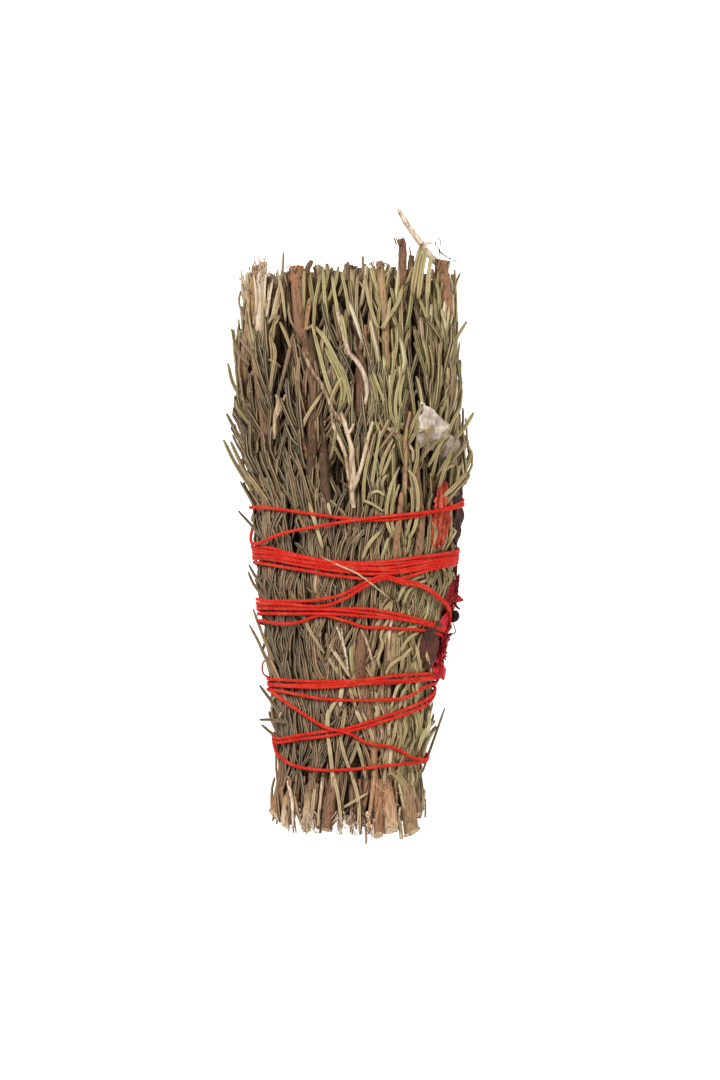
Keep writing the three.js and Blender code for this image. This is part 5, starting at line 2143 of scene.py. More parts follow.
EXTRAS: dict[str, tuple[Union[Shoot, Frays], ...]] = {
    "leafy_sprig_01": (
        Shoot(
            ((24.4, 61.0, 25.6), (23.2, 65.0, 26.5), (20.9, 67.4, 27.9), (18.4, 70.6, 29.4),
             (15.2, 74.8, 30.0), (12.6, 79.0, 30.6)),
            (1.0, 1.0, 0.85, 0.85, 0.75, 0.62),
        ),
        Shoot(
            ((18.6, 70.4, 29.4), (20.0, 70.9, 29.9), (21.2, 70.7, 30.2)), (0.5, 0.4, 0.3), 0.98, 12,
        ),
        Shoot(((13.4, 78.0, 30.4), (12.3, 79.4, 30.8)), (0.34, 0.12), 0.1, 6),
        Shoot(
            ((22.9, 65.2, 27.0), (22.8, 69.2, 28.0), (21.9, 70.6, 28.4), (22.2, 72.2, 28.6),
             (23.1, 71.4, 28.4), (23.0, 69.0, 28.0), (24.4, 67.8, 27.6), (26.0, 66.9, 27.2),
             (27.9, 66.1, 27.0)),
            (0.12, 0.12, 0.12, 0.12, 0.12, 0.12, 0.16, 0.14, 0.1), 0.0, 44, 0.3,
        ),
        Frays((21.8, 62.5), (25.6, 65.5), 9, (1.5, 3), 80, 20, seed=11, bark=0.7),
    ),
    "leafy_sprig_03": (
        Frays((11.8, 69.5), (13.8, 70.8), 7, (1, 2), 92, 16, seed=12, bark=0.45),
        Shoot(
            ((15.4, 60.0, 33.6), (15.6, 64.5, 34.2), (15.8, 67.4, 34.2)), (0.8, 0.85, 0.7), 0.3, 12,
        ),
        Shoot(((15.7, 67, 34), (15.4, 68.6, 34.2), (15.2, 69.9, 34.3)), (0.28, 0.2, 0.1), 0.6, 8),
        strips(12.0, 16.5, 7, 31, 0.3),
    ),
    "leafy_sprig_04": (
        Frays((5.6, 63.5), (9.0, 65), 22, (0.8, 1.8), 90, 60, seed=13, bark=0.75, curl=1.2),
        strips(7.5, 12.5, 8, 32, 0.6),
    ),
    "leafy_sprig_05": (
        Frays((5.5, -72), (13.0, -64), 22, (3, 8), seed=15, bark=0.8, curl=0.45, warm=0.7),
        Frays(
            (3.2, -74), (5.8, -67), 16, (3, 7), lowest=-79.5, bark=0.3, seed=16, curl=0.8, warm=0.8,
        ),
        strips(1.5, 8.0, 10, 33, 0.7),
    ),
    "leafy_sprig_06": (
        Frays((-3.6, -75), (-1.0, -70), 16, (2, 5), seed=18, bark=1.0, warm=0.0, lowest=-76.8),
        Frays((0.4, -75), (3.2, -70), 14, (2, 5), seed=20, bark=1.0, warm=0.0, lowest=-77),
        strips(-5.5, 2.0, 11, 34, 0.5),
    ),
    "leafy_sprig_07": (
        Frays((-15.4, 61), (-11.4, 64), 12, (1.5, 3.5), 88, 12, seed=17, bark=0.75),
        Frays((-10.8, -75), (-8.2, -70), 14, (2, 5), seed=22, bark=1.0, warm=0.1, lowest=-76.5),
        strips(-11.0, -5.0, 10, 35, 0.5),
    ),
    "leafy_sprig_08": (
        Frays((-23, 60), (-19.6, 64.5), 14, (2, 6), 92, 9, seed=19, bark=1.0),
        strips(-15.5, -10.5, 9, 36, 0.6),
    ),
    "leafy_sprig_09": (
        Frays((-25, 62), (-22.6, 65), 8, (1.5, 3), 92, 12, seed=21, bark=0.7),
        strips(-18.0, -14.5, 6, 37, 0.7),
    ),
}


def settle(piece: bpy.types.Object, slot: str, *nodes: str) -> None:
    """Rides a piece on the root and hides the nodes that it stands for.

    Args:
        piece: the piece.
        slot: its material's slot, which is not used.
        nodes: the CAD nodes that it stands for.
    """
    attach(piece, "root")
    if nodes:
        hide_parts(*nodes)
    faces = sum(len(p.vertices) - 2 for p in piece.data.polygons)
    log.info("%s: %d triangles", piece.name, faces)


def finish_piece(
    skin: Skin, node: str, slot: str, materials: Materials, name: str = ""
) -> bpy.types.Object:
    """Makes a piece of the faces gathered for it, and settles it.

    Args:
        skin: its faces.
        node: the CAD node that it stands for.
        slot: its material's slot.
        materials: its finishes, in the order of their numbers.
        name: its name, where that isn't made from the node's.

    Returns:
        The piece.
    """
    piece = skin.build(name or f"{node}_dressed", materials)
    settle(piece, slot, node)
    return piece


# Thread


@dataclass(frozen=True)
class Thread:
    """The one red thread, twisted from two plies, along its whole route.

    Args:
        route: where it runs.
        half_width: half its width at its widest.
        step: degrees from one ring to the next.
        twist: distance along it from one ply to the next.
        corners: how many its section has.
        waves: height and number to the radian of the waves in its line.
        loops: loose bits that stand off the left edge.
        loop_radius: half the width of a loose bit.
        fibres: how many fine fibres stand off it.
    """

    route: ThreadRoute = ROUTE
    half_width: float = 0.45
    step: float = 1.0
    twist: float = 1.5
    corners: int = 7
    waves: Table = ((0.12, 0.37), (0.09, 1.3), (0.05, 4.1))
    loops: tuple[tuple[Place, ...], ...] = (
        ((-19.2, -34.0, 15.0), (-21.2, -33.9, 15.4), (-21.8, -35.6, 15.5), (-21.2, -37.5, 15.3),
         (-19.0, -38.2, 15.0)),
    )
    loop_radius: float = 0.24
    fibres: int = 420

    LOOP_RINGS = 26
    FIBRE_RADIUS = 0.06

    def build(self, materials: Materials) -> bpy.types.Object:
        """Builds the thread.

        Args:
            materials: the thread's finish.

        Returns:
            The piece.
        """
        rng = np.random.default_rng(5)
        table = self.route.table()
        degrees = np.arange(table[0, 0], table[-1, 0], -self.step)
        y, over = self.route.run(degrees)
        angle = np.radians(degrees)
        phases = rng.uniform(*ANY_PHASE, len(self.waves))
        wander = sum(a * np.sin(angle * f + p) for (a, f), p in zip(self.waves, phases))
        share = self.route.seat + self.route.step_over * over
        middle = BUNDLE.place(angle, share, y + wander)
        middle[:, 2] = np.maximum(middle[:, 2], self.route.lowest)
        tangent = unit(np.gradient(middle, axis=0))
        side = unit(np.cross(tangent, BUNDLE.outward(angle)))
        up = np.cross(side, tangent)
        turn = np.arange(self.corners) / self.corners * 2 * math.pi
        lobe = np.abs(np.cos(turn[None] - (run_along(middle) / self.twist * math.pi)[:, None]))
        radius = self.half_width * (0.84 + 0.16 * lobe)
        points = (
            middle[:, None]
            + side[:, None] * (radius * np.sin(turn))[..., None]
            + up[:, None] * (radius * np.cos(turn))[..., None]
        )
        number = np.arange(lobe.size).reshape(lobe.shape)
        faces = [(ring_quads(number), 0), (number[:1, ::-1], 0), (number[-1:], 0)]
        skin = Skin()
        skin.add(points.reshape(-1, 3), faces, across=lobe.ravel())
        for loop in self.loops:
            line = smooth_through(np.array(loop), self.LOOP_RINGS)
            add_tube(skin, line, self.loop_radius, round_section(5), 0.0)
        self.add_fuzz(skin, rng, middle, tangent, side, up)
        return finish_piece(skin, "winding_thread", "cotton_thread", materials, "red_thread")

    def add_fuzz(
        self,
        skin: Skin,
        rng: np.random.Generator,
        middle: Array,
        tangent: Array,
        side: Array,
        up: Array,
    ) -> None:
        """Adds short loose fibres of cotton that stand off the thread.

        Args:
            skin: where they go.
            rng: for what varies.
            middle: the thread's middle line.
            tangent: the thread's direction at each point of it.
            side: the way across the thread at each point.
            up: the way out of the bundle at each point.
        """
        count = self.fibres
        at = rng.integers(0, len(middle), count)
        turn = rng.uniform(-1.5, 1.5, count)[:, None]
        out = side[at] * np.sin(turn) + up[at] * np.cos(turn)
        way = out * rng.uniform(0.3, 1.0, (count, 1)) + tangent[at] * rng.normal(0, 1, (count, 1))
        t = np.linspace(0, 1, 4)[None, :, None]
        long = rng.uniform(0.5, 1.7, count)[:, None, None]
        bend = out[:, None] * (0.35 * np.sin(t * 3.0)) * rng.normal(0.4, 1.0, (count, 1, 1))
        line = middle[at][:, None] + out[:, None] * 0.36 + unit(way)[:, None] * t * long + bend
        line[..., 2] = np.maximum(line[..., 2], 0.1)
        ups = np.broadcast_to(out[:, None], line.shape)
        thin = np.full(line.shape[:2], self.FIBRE_RADIUS)
        tubes(skin, line, ups, thin, thin, round_section(3), np.zeros(count))


# Twigs and middle stems


class Stick(IntEnum):
    """The materials of a twig or a middle stem, in order."""

    SIDE = 0
    CUT = 1


@dataclass(frozen=True)
class TwigPath:
    """One stick of a twig.

    Args:
        points: x, y and share of the way out, through which it runs.
        radii: its radius at each of them.
        tone: 0 for dark to 1 for pale.
    """

    points: tuple[Place, ...]
    radii: tuple[float, ...]
    tone: float = 0.5


@dataclass(frozen=True)
class Twig:
    """A twig of one or more sticks that lies on the bundle's face.

    Args:
        node: the CAD node that it stands for.
        paths: its sticks.
        seed: for what varies.
    """

    node: str
    paths: tuple[TwigPath, ...]
    seed: int = 1

    RINGS = 48

    def build(self, materials: Materials) -> bpy.types.Object:
        """Builds the twig.

        Args:
            materials: the twig's finish, and the cut wood's.

        Returns:
            The piece.
        """
        rng = np.random.default_rng(self.seed)
        skin = Skin()
        for path in self.paths:
            line = smooth_through(BUNDLE.on_face(*np.array(path.points).T), self.RINGS)
            radius = spread_over(len(line), path.radii)
            radius = radius * (1 + 0.07 * rng.standard_normal(len(line)))
            section = rough_section(rng, 9, 0.08)
            tone = path.tone + 0.03 * rng.standard_normal(len(line))
            ends = (Stick.CUT, Stick.CUT)
            add_tube(skin, line, radius, section, tone, Stick.SIDE, ends, (0.0, 0.1, 1.0))
        return finish_piece(skin, self.node, "pale_twig", materials)


FORKED_TWIG = (
    TwigPath(
        ((1.4, 4.9, 1.0), (1.0, 8.5, 1.04), (1.25, 12.4, 1.06), (1.0, 16.3, 1.07),
         (0.9, 19.3, 1.07), (0.25, 21.8, 1.07), (-0.75, 25.4, 1.07), (-2.0, 29.0, 1.06)),
        (0.62, 0.72, 0.8, 0.75, 0.7, 0.55, 0.62, 0.42),
    ),
    TwigPath(
        ((1.0, 8.5, 1.03), (0.3, 12.4, 1.05), (-0.5, 17.5, 1.06), (-2.0, 21.3, 1.06),
         (-3.5, 24.9, 1.05), (-3.95, 28.4, 1.03)),
        (0.5, 0.5, 0.46, 0.44, 0.42, 0.36), 0.35,
    ),
    TwigPath(
        ((-0.75, 25.4, 1.07), (-3.05, 27.7, 1.08), (-4.8, 31.3, 1.08), (-6.35, 34.8, 1.08),
         (-8.65, 38.4, 1.07), (-10.8, 42.9, 1.04)),
        (0.45, 0.48, 0.5, 0.5, 0.48, 0.44), 0.2,
    ),
    TwigPath(
        ((1.3, 9.3, 1.04), (2.05, 11.1, 1.06), (3.6, 15.7, 1.07), (4.85, 21.3, 1.06),
         (6.15, 25.9, 1.03)),
        (0.5, 0.5, 0.5, 0.46, 0.4),
    ),
    TwigPath(((0.2, 23.0, 1.08), (1.1, 24.4, 1.1), (1.3, 25.4, 1.1)), (0.4, 0.34, 0.2)),
)
CROOKED_TWIG = (
    TwigPath(
        ((-2.6, 52.8, 1.03), (-1.6, 49.0, 1.07), (-0.6, 45.4, 1.08), (0.25, 43.0, 1.1),
         (2.4, 40.4, 1.1), (4.1, 37.2, 1.09), (4.7, 33.6, 1.07), (4.2, 30.2, 1.03)),
        (0.3, 0.36, 0.45, 0.6, 0.62, 0.6, 0.55, 0.34),
    ),
)


@dataclass(frozen=True)
class MiddleStem:
    """A bare woody stem in the middle of the bundle.

    Args:
        number: its number, from 1.
        at: direction in which it lies, in degrees.
        foot: y at which it is cut below.
        head: y at which it is cut above.
        radius: its radius at the foot.
        tone: 0 for dark to 1 for pale.
        share: share of the way out at which it lies.
        green: how reddish it is.
    """

    number: int
    at: float
    foot: float
    head: float
    radius: float
    tone: float
    share: float = 0.14
    green: float = 0.4

    RINGS = 90

    def build(self, materials: Materials) -> bpy.types.Object:
        """Builds the stem.

        Args:
            materials: bark and cut wood.

        Returns:
            The piece.
        """
        rng = np.random.default_rng(40 + self.number)
        y = np.linspace(self.foot, self.head, self.RINGS)
        middle = BUNDLE.place(np.radians(np.full_like(y, self.at)), np.full_like(y, self.share), y)
        middle[:, 0] += 0.4 * np.sin(y / 12 + self.number)
        middle[:, 2] += 0.3 * np.sin(y / 9 + self.number)
        radius = self.radius * (1 - 0.1 * ramp_between(y, self.foot, self.head))
        radius = radius * (1 + 0.05 * rng.standard_normal(len(y)))
        section = rough_section(rng, 12, 0.09)
        slant = (rng.uniform(0.1, 0.7), rng.uniform(0.0, 0.3))
        skin = Skin()
        add_tube(
            skin, middle, radius, section, self.tone, Stick.SIDE, (Stick.CUT, Stick.CUT),
            green=self.green, slant=slant,
        )
        return finish_piece(skin, f"middle_stem_{self.number:02d}", "woody_stem", materials)


MIDDLE_STEMS = (
    MiddleStem(1, 80, -76, 63, 2.1, 0.32),
    MiddleStem(2, 200, -74, 64.5, 1.8, 0.5),
    MiddleStem(3, 320, -75, 62.5, 1.9, 0.42),
)


# Leaf, petals and flower


@dataclass(frozen=True)
class Sheet:
    """A thin dried sheet cut to an outline and laid on a surface.

    Args:
        corners: the outline in the sheet's own plane, in millimetres or degrees.
        cell: distance between the points inside it.
        scale: size of one unit of the plane along its two axes, in millimetres.
        crumple: height of its waves.
        thickness: of the sheet.
        seed: for its waves.
        ragged: how uneven its rim is.
    """

    corners: Sequence[Point]
    cell: float = 0.7
    scale: Point = (1.0, 1.0)
    crumple: float = 0.5
    thickness: float = 0.25
    seed: int = 1
    ragged: float = 0.1

    # How uneven the points inside are, as a share of a cell
    JITTER = 0.12
    WAVES = 5
    WAVE_LENGTHS = (2.2, 9)

    def rim(self, rng: np.random.Generator) -> Array:
        """Walks round the outline.

        Args:
            rng: for what varies.

        Returns:
            Points about a cell apart, each a little in or out.
        """
        corners = np.array(self.corners, dtype=float)
        found: list[Array] = []
        for a, b in zip(corners, np.roll(corners, -1, axis=0)):
            steps = max(1, int(np.linalg.norm((b - a) * self.scale) / self.cell))
            found.extend(a + (b - a) * k / steps for k in range(steps))
        points = np.array(found)
        return points + rng.normal(0, self.ragged, points.shape) / np.array(self.scale)

    def points(self) -> tuple[Array, Array]:
        """Fills the outline with triangles.

        Returns:
            Points in the sheet's plane, and the numbers of the three at each triangle's corners.
        """
        rng = np.random.default_rng(self.seed)
        scale = np.array(self.scale)
        cells = self.cell / scale
        rim = self.rim(rng)
        low, high = rim.min(0), rim.max(0)
        rows = [np.arange(low[k], high[k], cells[k]) for k in (0, 1)]
        grid = np.stack(np.meshgrid(*rows), axis=-1).reshape(-1, 2)
        grid = grid + rng.normal(0, self.JITTER, grid.shape) * cells
        scaled = [Vector(point) for point in np.concatenate([rim, grid]) * scale]
        edges = [(i, (i + 1) % len(rim)) for i in range(len(rim))]
        out = delaunay_2d_cdt(scaled, edges, [list(range(len(rim)))], 1, 1e-5)
        faces = np.array([tuple(face) for face in out[2] if len(face) == 3])
        return np.array([tuple(point) for point in out[0]]) / scale, faces

    def waves(self, plane: Array) -> Array:
        """Raises the sheet in waves.

        Args:
            plane: points of its plane.

        Returns:
            How high it stands at each.
        """
        rng = np.random.default_rng(self.seed + 50)
        size = plane * np.array(self.scale)
        height = np.zeros(len(plane))
        for _ in range(self.WAVES):
            heading, length = rng.uniform(0, math.pi), rng.uniform(*self.WAVE_LENGTHS)
            run = size @ np.array([math.cos(heading), math.sin(heading)])
            height += np.sin(run / length * 2 * math.pi + rng.uniform(*ANY_PHASE)) * length / 14
        return height * self.crumple

    def add(self, skin: Skin, lay: Lay, shade: Callable[[Array], Array]) -> None:
        """Adds the sheet's two sides and its rim.

        Args:
            skin: where the faces go.
            lay: gives the place and the way out for each point of the plane.
            shade: gives the tone for each point of the plane.
        """
        plane, faces = self.points()
        place, out = lay(plane)
        place = place + out * self.waves(plane)[:, None]
        used, inverse = np.unique(faces, return_inverse=True)
        faces = inverse.reshape(faces.shape)
        place, rise = place[used], out[used] * (self.thickness / 2)
        count = len(used)
        edges = np.concatenate([faces[:, [0, 1]], faces[:, [1, 2]], faces[:, [2, 0]]]).tolist()
        known = {tuple(edge) for edge in edges}
        rim = np.array([edge for edge in edges if (edge[1], edge[0]) not in known])
        walls = np.stack([rim[:, 1], rim[:, 0], rim[:, 0] + count, rim[:, 1] + count], axis=-1)
        sides = [(faces, 0), (faces[:, ::-1] + count, 0), (walls, 0)]
        tone = np.tile(shade(plane[used]), 2)
        skin.add(np.concatenate([place + rise, place - rise]), sides, tone=tone)


@dataclass(frozen=True)
class Patch:
    """A leaf or petal laid round the bundle.

    Args:
        node: the CAD node that it stands for.
        slot: its material's slot.
        corners: its outline, as degrees and y.
        share: share of the way out at which it lies.
        tone: 0 for dark to 1 for pale.
        crumple: height of its waves.
        seed: for its waves.
        pleats: height of its lengthwise folds, and of the painted highlight and shade on them.
        painted_shade_tilt: painted shadow, as what the tone gains for each degree to the right and
            each millimetre up.
    """

    node: str
    slot: str
    corners: Table
    share: float
    tone: float = 0.5
    crumple: float = 0.5
    seed: int = 1
    pleats: float = 0.0
    painted_shade_tilt: Point = (0.0, 0.0)

    # Girth of the bundle over that of a circle as wide as it
    GIRTH = 0.86

    def middle_y(self) -> float:
        """The y of its middle."""
        return float(np.mean([y for _, y in self.corners]))

    def fold(self, plane: Array) -> Array:
        """How high the pleats stand, from -1 to 1."""
        return np.sin(plane[:, 0] * 1.5 + 0.9 * np.sin(plane[:, 1] * 0.4))

    def lay(self, plane: Array) -> tuple[Array, Array]:
        """Lays the plane round the bundle.

        Args:
            plane: degrees to the right, and y.

        Returns:
            The place and the way out of each point.
        """
        angle = np.radians(-plane[:, 0])
        out = BUNDLE.outward(angle)
        place = BUNDLE.place(angle, self.share, plane[:, 1])
        return place + out * (self.fold(plane) * self.pleats)[:, None], out

    def shade(self, plane: Array) -> Array:
        """Shades the plane: a painted highlight on the crests of the pleats, painted shade in their
        troughs, and a painted shadow slope across and along.

        Args:
            plane: degrees to the right, and y.

        Returns:
            The tone of each point.
        """
        # Painted shadow that darkens the sheet towards one side and one end
        across, along = self.painted_shade_tilt
        shift = (plane[:, 0] - np.mean(plane[:, 0])) * across
        shift = shift + (plane[:, 1] - self.middle_y()) * along
        # Painted highlight on the pleats' crests and painted shade in their troughs, plus the
        # painted shadow slope
        return self.tone + self.pleats * 0.5 * self.fold(plane) + shift

    def build(self, material: bpy.types.Material) -> bpy.types.Object:
        """Builds the patch.

        Args:
            material: its finish.

        Returns:
            The piece.
        """
        wide = float(BUNDLE.outline(np.array(self.middle_y()))[0])
        scale = (math.radians(1) * wide * self.GIRTH, 1.0)
        turned = [(-degrees, y) for degrees, y in self.corners]
        sheet = Sheet(turned, scale=scale, crumple=self.crumple, seed=self.seed, ragged=0.2)
        skin = Skin()
        sheet.add(skin, self.lay, self.shade)
        return finish_piece(skin, self.node, self.slot, (material,))


# Painted shadow on the lower right of the dry leaf
DRY_LEAF_PATCH = Patch(
    "dry_leaf", "dry_leaf", DRY_LEAF, 1.03, 0.52, crumple=0.7, seed=4, painted_shade_tilt=(-0.004, 0.05)
)
MAROON_PATCH = Patch(
    "maroon_petal", "dark_petal", MAROON_PETAL, 0.98, 0.6, crumple=0.4, seed=5, pleats=0.22
)
BROWN_PATCH = Patch("brown_petal", "dark_petal", BROWN_PETAL, 1.02, seed=6)
STRIP_PATCH = Patch(
    "red_petal_strip", "red_petal", RED_STRIP, 0.975, crumple=0.25, seed=7, pleats=0.8
)


class Bloom(IntEnum):
    """The flower's materials, in order."""

    PETAL = 0
    BUD = 1


def both_sides(side: Table, length: float, half_width: float, tip: float) -> list[Point]:
    """Gives the outline of a petal or bract, which is the same on both sides.

    Args:
        side: shares of the length and of half the width, from the root to near the tip.
        length: its length.
        half_width: half its width.
        tip: how far from the root its tip is.

    Returns:
        The corners.
    """
    right = [(a * length, -b * half_width) for a, b in side]
    left = [(a * length, b * half_width) for a, b in reversed(side)]
    return [*right, (tip, 0.0), *left]


@dataclass(frozen=True)
class Bract:
    """A pointed bract or a folded petal of the flower.

    Args:
        root: x, y and z.
        tip: x, y and z.
        half_width: at its widest.
        tone: 0 for dark to 1 for pale.
        side: its outline on one side, as shares of its length and of half its width.
    """

    root: Place
    tip: Place
    half_width: float
    tone: float
    side: Table = ((0, 0.45), (0.25, 0.95), (0.5, 1.0), (0.75, 0.6), (0.92, 0.25))

    def add(self, skin: Skin, seed: int) -> None:
        """Adds it to the flower's skin.

        Args:
            skin: where its faces go.
            seed: for its waves.
        """
        root, tip = np.array(self.root), np.array(self.tip)
        long = float(np.linalg.norm(tip - root))
        way = (tip - root) / long
        side = unit(np.cross(way, np.array([0.35, 0.0, 1.0])))
        out = np.cross(side, way)

        def lay(plane: Array) -> tuple[Array, Array]:
            """Lays the bract's plane, cupped across.

            Args:
                plane: how far from the root and from the middle line.

            Returns:
                The place and the way out of each point.
            """
            cup = 0.35 * np.abs(plane[:, 1:]) + 0.04 * plane[:, :1] * plane[:, :1] / long
            place = root + way * plane[:, :1] + side * plane[:, 1:] + out * cup
            return place, np.broadcast_to(out, place.shape)

        def shade(plane: Array) -> Array:
            """Shades it darker towards its tip."""
            return self.tone - 0.4 * ramp_between(plane[:, 0] / long, 0.7, 1)

        rim = both_sides(self.side, long, self.half_width, long)
        sheet = Sheet(rim, cell=0.45, crumple=0.1, thickness=0.18, seed=seed, ragged=0.05)
        sheet.add(skin, lay, shade)


@dataclass(frozen=True)
class PressedFlower:
    """The dried red flower: layers of scalloped petals pressed on the side, with its bracts.

    Args:
        degrees: direction in which its middle lies.
        y: y of its middle.
        share: share of the way out at which it lies.
        layers: how many petals each layer has, their size and how far they stand off.
        long_reach: length of a petal that points along the bundle.
        short_reach: length of one that points across it.
        half_width: half the width of a petal of full size.
        side: a petal's outline on one side, as shares of its length and of half its width.
        notch: share of its length at which the middle of its end is.
        bracts: its bracts and folded petals.
        buds: points and radii of the bud and of two hairs.
    """

    degrees: float = 4.0
    y: float = -30.2
    share: float = 0.97
    layers: tuple[Place, ...] = ((13, 1.0, 0.0), (12, 0.88, 0.3), (11, 0.72, 0.6), (8, 0.5, 0.9))
    long_reach: float = 8.4
    short_reach: float = 5.6
    half_width: float = 1.7
    side: Table = ((0.12, 0.3), (0.35, 0.75), (0.62, 1.0), (0.82, 1.02), (0.95, 0.72), (0.97, 0.3))
    notch: float = 0.93
    bracts: tuple[Bract, ...] = (
        Bract((22.3, -34.4, 17.5), (24.1, -38.8, 19.5), 1.5, 0.75),
        Bract((21.6, -33.6, 20.0), (21.9, -37.6, 22.5), 1.2, 0.6),
        Bract((26.4, -17.8, 18.5), (29.2, -18.5, 20.0), 1.0, 0.65),
        Bract((24.4, -19.5, 16.5), (27.4, -9.0, 19.0), 1.3, 0.25),
        Bract((25.2, -18.5, 20.0), (28.0, -11.5, 22.5), 1.1, 0.1),
        Bract((24.6, -20.5, 22.0), (26.4, -13.0, 25.0), 1.0, 0.35),
        Bract((25.4, -22.0, 17.0), (27.8, -15.6, 17.0), 1.0, 0.5),
        Bract((23.6, -24.0, 18.0), (26.4, -18.2, 21.5), 1.3, 0.2),
        Bract((22.8, -26.5, 21.0), (25.0, -21.0, 24.0), 1.2, 0.45),
        Bract((23.6, -25.5, 14.0), (25.2, -18.4, 11.5), 1.4, 0.5),
        Bract((22.4, -34.5, 13.5), (22.6, -39.6, 10.5), 1.3, 0.6),
    )
    buds: tuple[tuple[tuple[Place, ...], tuple[float, ...]], ...] = (
        (
            ((26.3, -24.0, 19.5), (26.9, -22.6, 20.0), (27.0, -21.0, 20.2)),
            (0.3, 0.85, 1.15, 1.2, 1.0, 0.5),
        ),
        (((25.4, -27.2, 19.5), (27.0, -26.5, 20.4), (26.6, -24.3, 20.4)), (0.16, 0.14, 0.12)),
        (((26.8, -19.0, 20.0), (27.5, -20.2, 20.6), (28.2, -20.6, 20.8)), (0.3, 0.28, 0.2)),
    )

    BRACT_SEED = 200
    BUD_RINGS = 18

    def lay(self, angle: float, length: float, lift: float) -> Lay:
        """Gives the function that lays one petal on the side of the bundle.

        Args:
            angle: the way that it points, from along the bundle, in radians.
            length: its length.
            lift: how far its end stands off the bundle.

        Returns:
            A function from points of the petal's plane to places and ways out.
        """

        def place(plane: Array) -> tuple[Array, Array]:
            """Lays the petal's plane.

            Args:
                plane: how far from the root and from the middle line.

            Returns:
                The place and the way out of each point.
            """
            along = plane[:, 0] * math.cos(angle) - plane[:, 1] * math.sin(angle)
            across = plane[:, 0] * math.sin(angle) + plane[:, 1] * math.cos(angle)
            y = self.y + along
            turn = np.radians(self.degrees) + across / BUNDLE.outline(y)[1]
            out = BUNDLE.outward(turn)
            reach = plane[:, 0] / length
            curl = 0.8 * ramp_between(reach, 0.6, 1.0) ** 2
            frill = 0.28 * np.sin(plane[:, 1] * 3.1 + angle * 5) * ramp_between(reach, 0.4, 1.0)
            rise = 0.2 + lift * (0.5 + 0.5 * reach) + 0.3 * np.abs(plane[:, 1]) + curl + frill
            return BUNDLE.place(turn, self.share, y) + out * rise[:, None], out

        return place

    def add_petals(self, skin: Skin, rng: np.random.Generator) -> None:
        """Adds the layers of scalloped petals, dark along their curled rims.

        Args:
            skin: where their faces go.
            rng: for what varies.
        """
        for layer, (count, size, lift) in enumerate(self.layers):
            for k in range(count):
                angle = (k + 0.5 * (layer % 2)) / count * 2 * math.pi + rng.normal(0.12, 0.1)
                stretch = abs(math.cos(angle))
                length = size * (self.short_reach + (self.long_reach - self.short_reach) * stretch)
                length *= rng.uniform(0.82, 1.0)
                half = self.half_width * (0.7 + 0.3 * size)
                base = rng.uniform(0.25, 0.95)

                def shade(plane: Array) -> Array:
                    """Shades the petal darker towards its rim and in its throat.

                    Args:
                        plane: how far from the root and from the middle line.

                    Returns:
                        The tone of each point.
                    """
                    reach = plane[:, 0] / length
                    edge = ramp_between(reach, 0.86, 0.98) + 0.6 * ramp_between(-reach, -0.5, -0.2)
                    return base - 0.6 * edge

                rim = both_sides(self.side, length, half, length * self.notch)
                sheet = Sheet(rim, cell=0.6, crumple=0.14, thickness=0.16, seed=k + 20 * layer)
                sheet.add(skin, self.lay(angle, length, lift), shade)

    def build(self, materials: Materials) -> bpy.types.Object:
        """Builds the flower.

        Args:
            materials: the petals' finish, and that of the bud and the hairs.

        Returns:
            The piece.
        """
        rng = np.random.default_rng(9)
        skin = Skin()
        self.add_petals(skin, rng)
        for number, one in enumerate(self.bracts):
            one.add(skin, self.BRACT_SEED + number)
        for points, radii in self.buds:
            line = smooth_through(np.array(points), self.BUD_RINGS)
            radius = spread_over(len(line), radii)
            ends = (Bloom.BUD, Bloom.BUD)
            add_tube(skin, line, radius, round_section(8), 0.1, Bloom.BUD, ends, flat=0.85)
        return finish_piece(skin, "red_flower", "red_petal", materials)


# The picture


@dataclass(frozen=True)
class Lamp:
    """A soft square lamp that faces the bundle.

    Args:
        name: the lamp's name.
        place: x, y and z in metres.
        size: of its side, in metres.
        power: in watts.
    """

    name: str
    place: Place
    size: float
    power: float

    def build(self) -> None:
        """Adds the lamp."""
        data = bpy.data.lights.new(self.name, "AREA")
        data.size = self.size
        data.energy = self.power
        lamp = add_to_scene(self.name, data)
        lamp.location = self.place
        lamp.rotation_euler = (-Vector(self.place)).to_track_quat("-Z", "Y").to_euler()


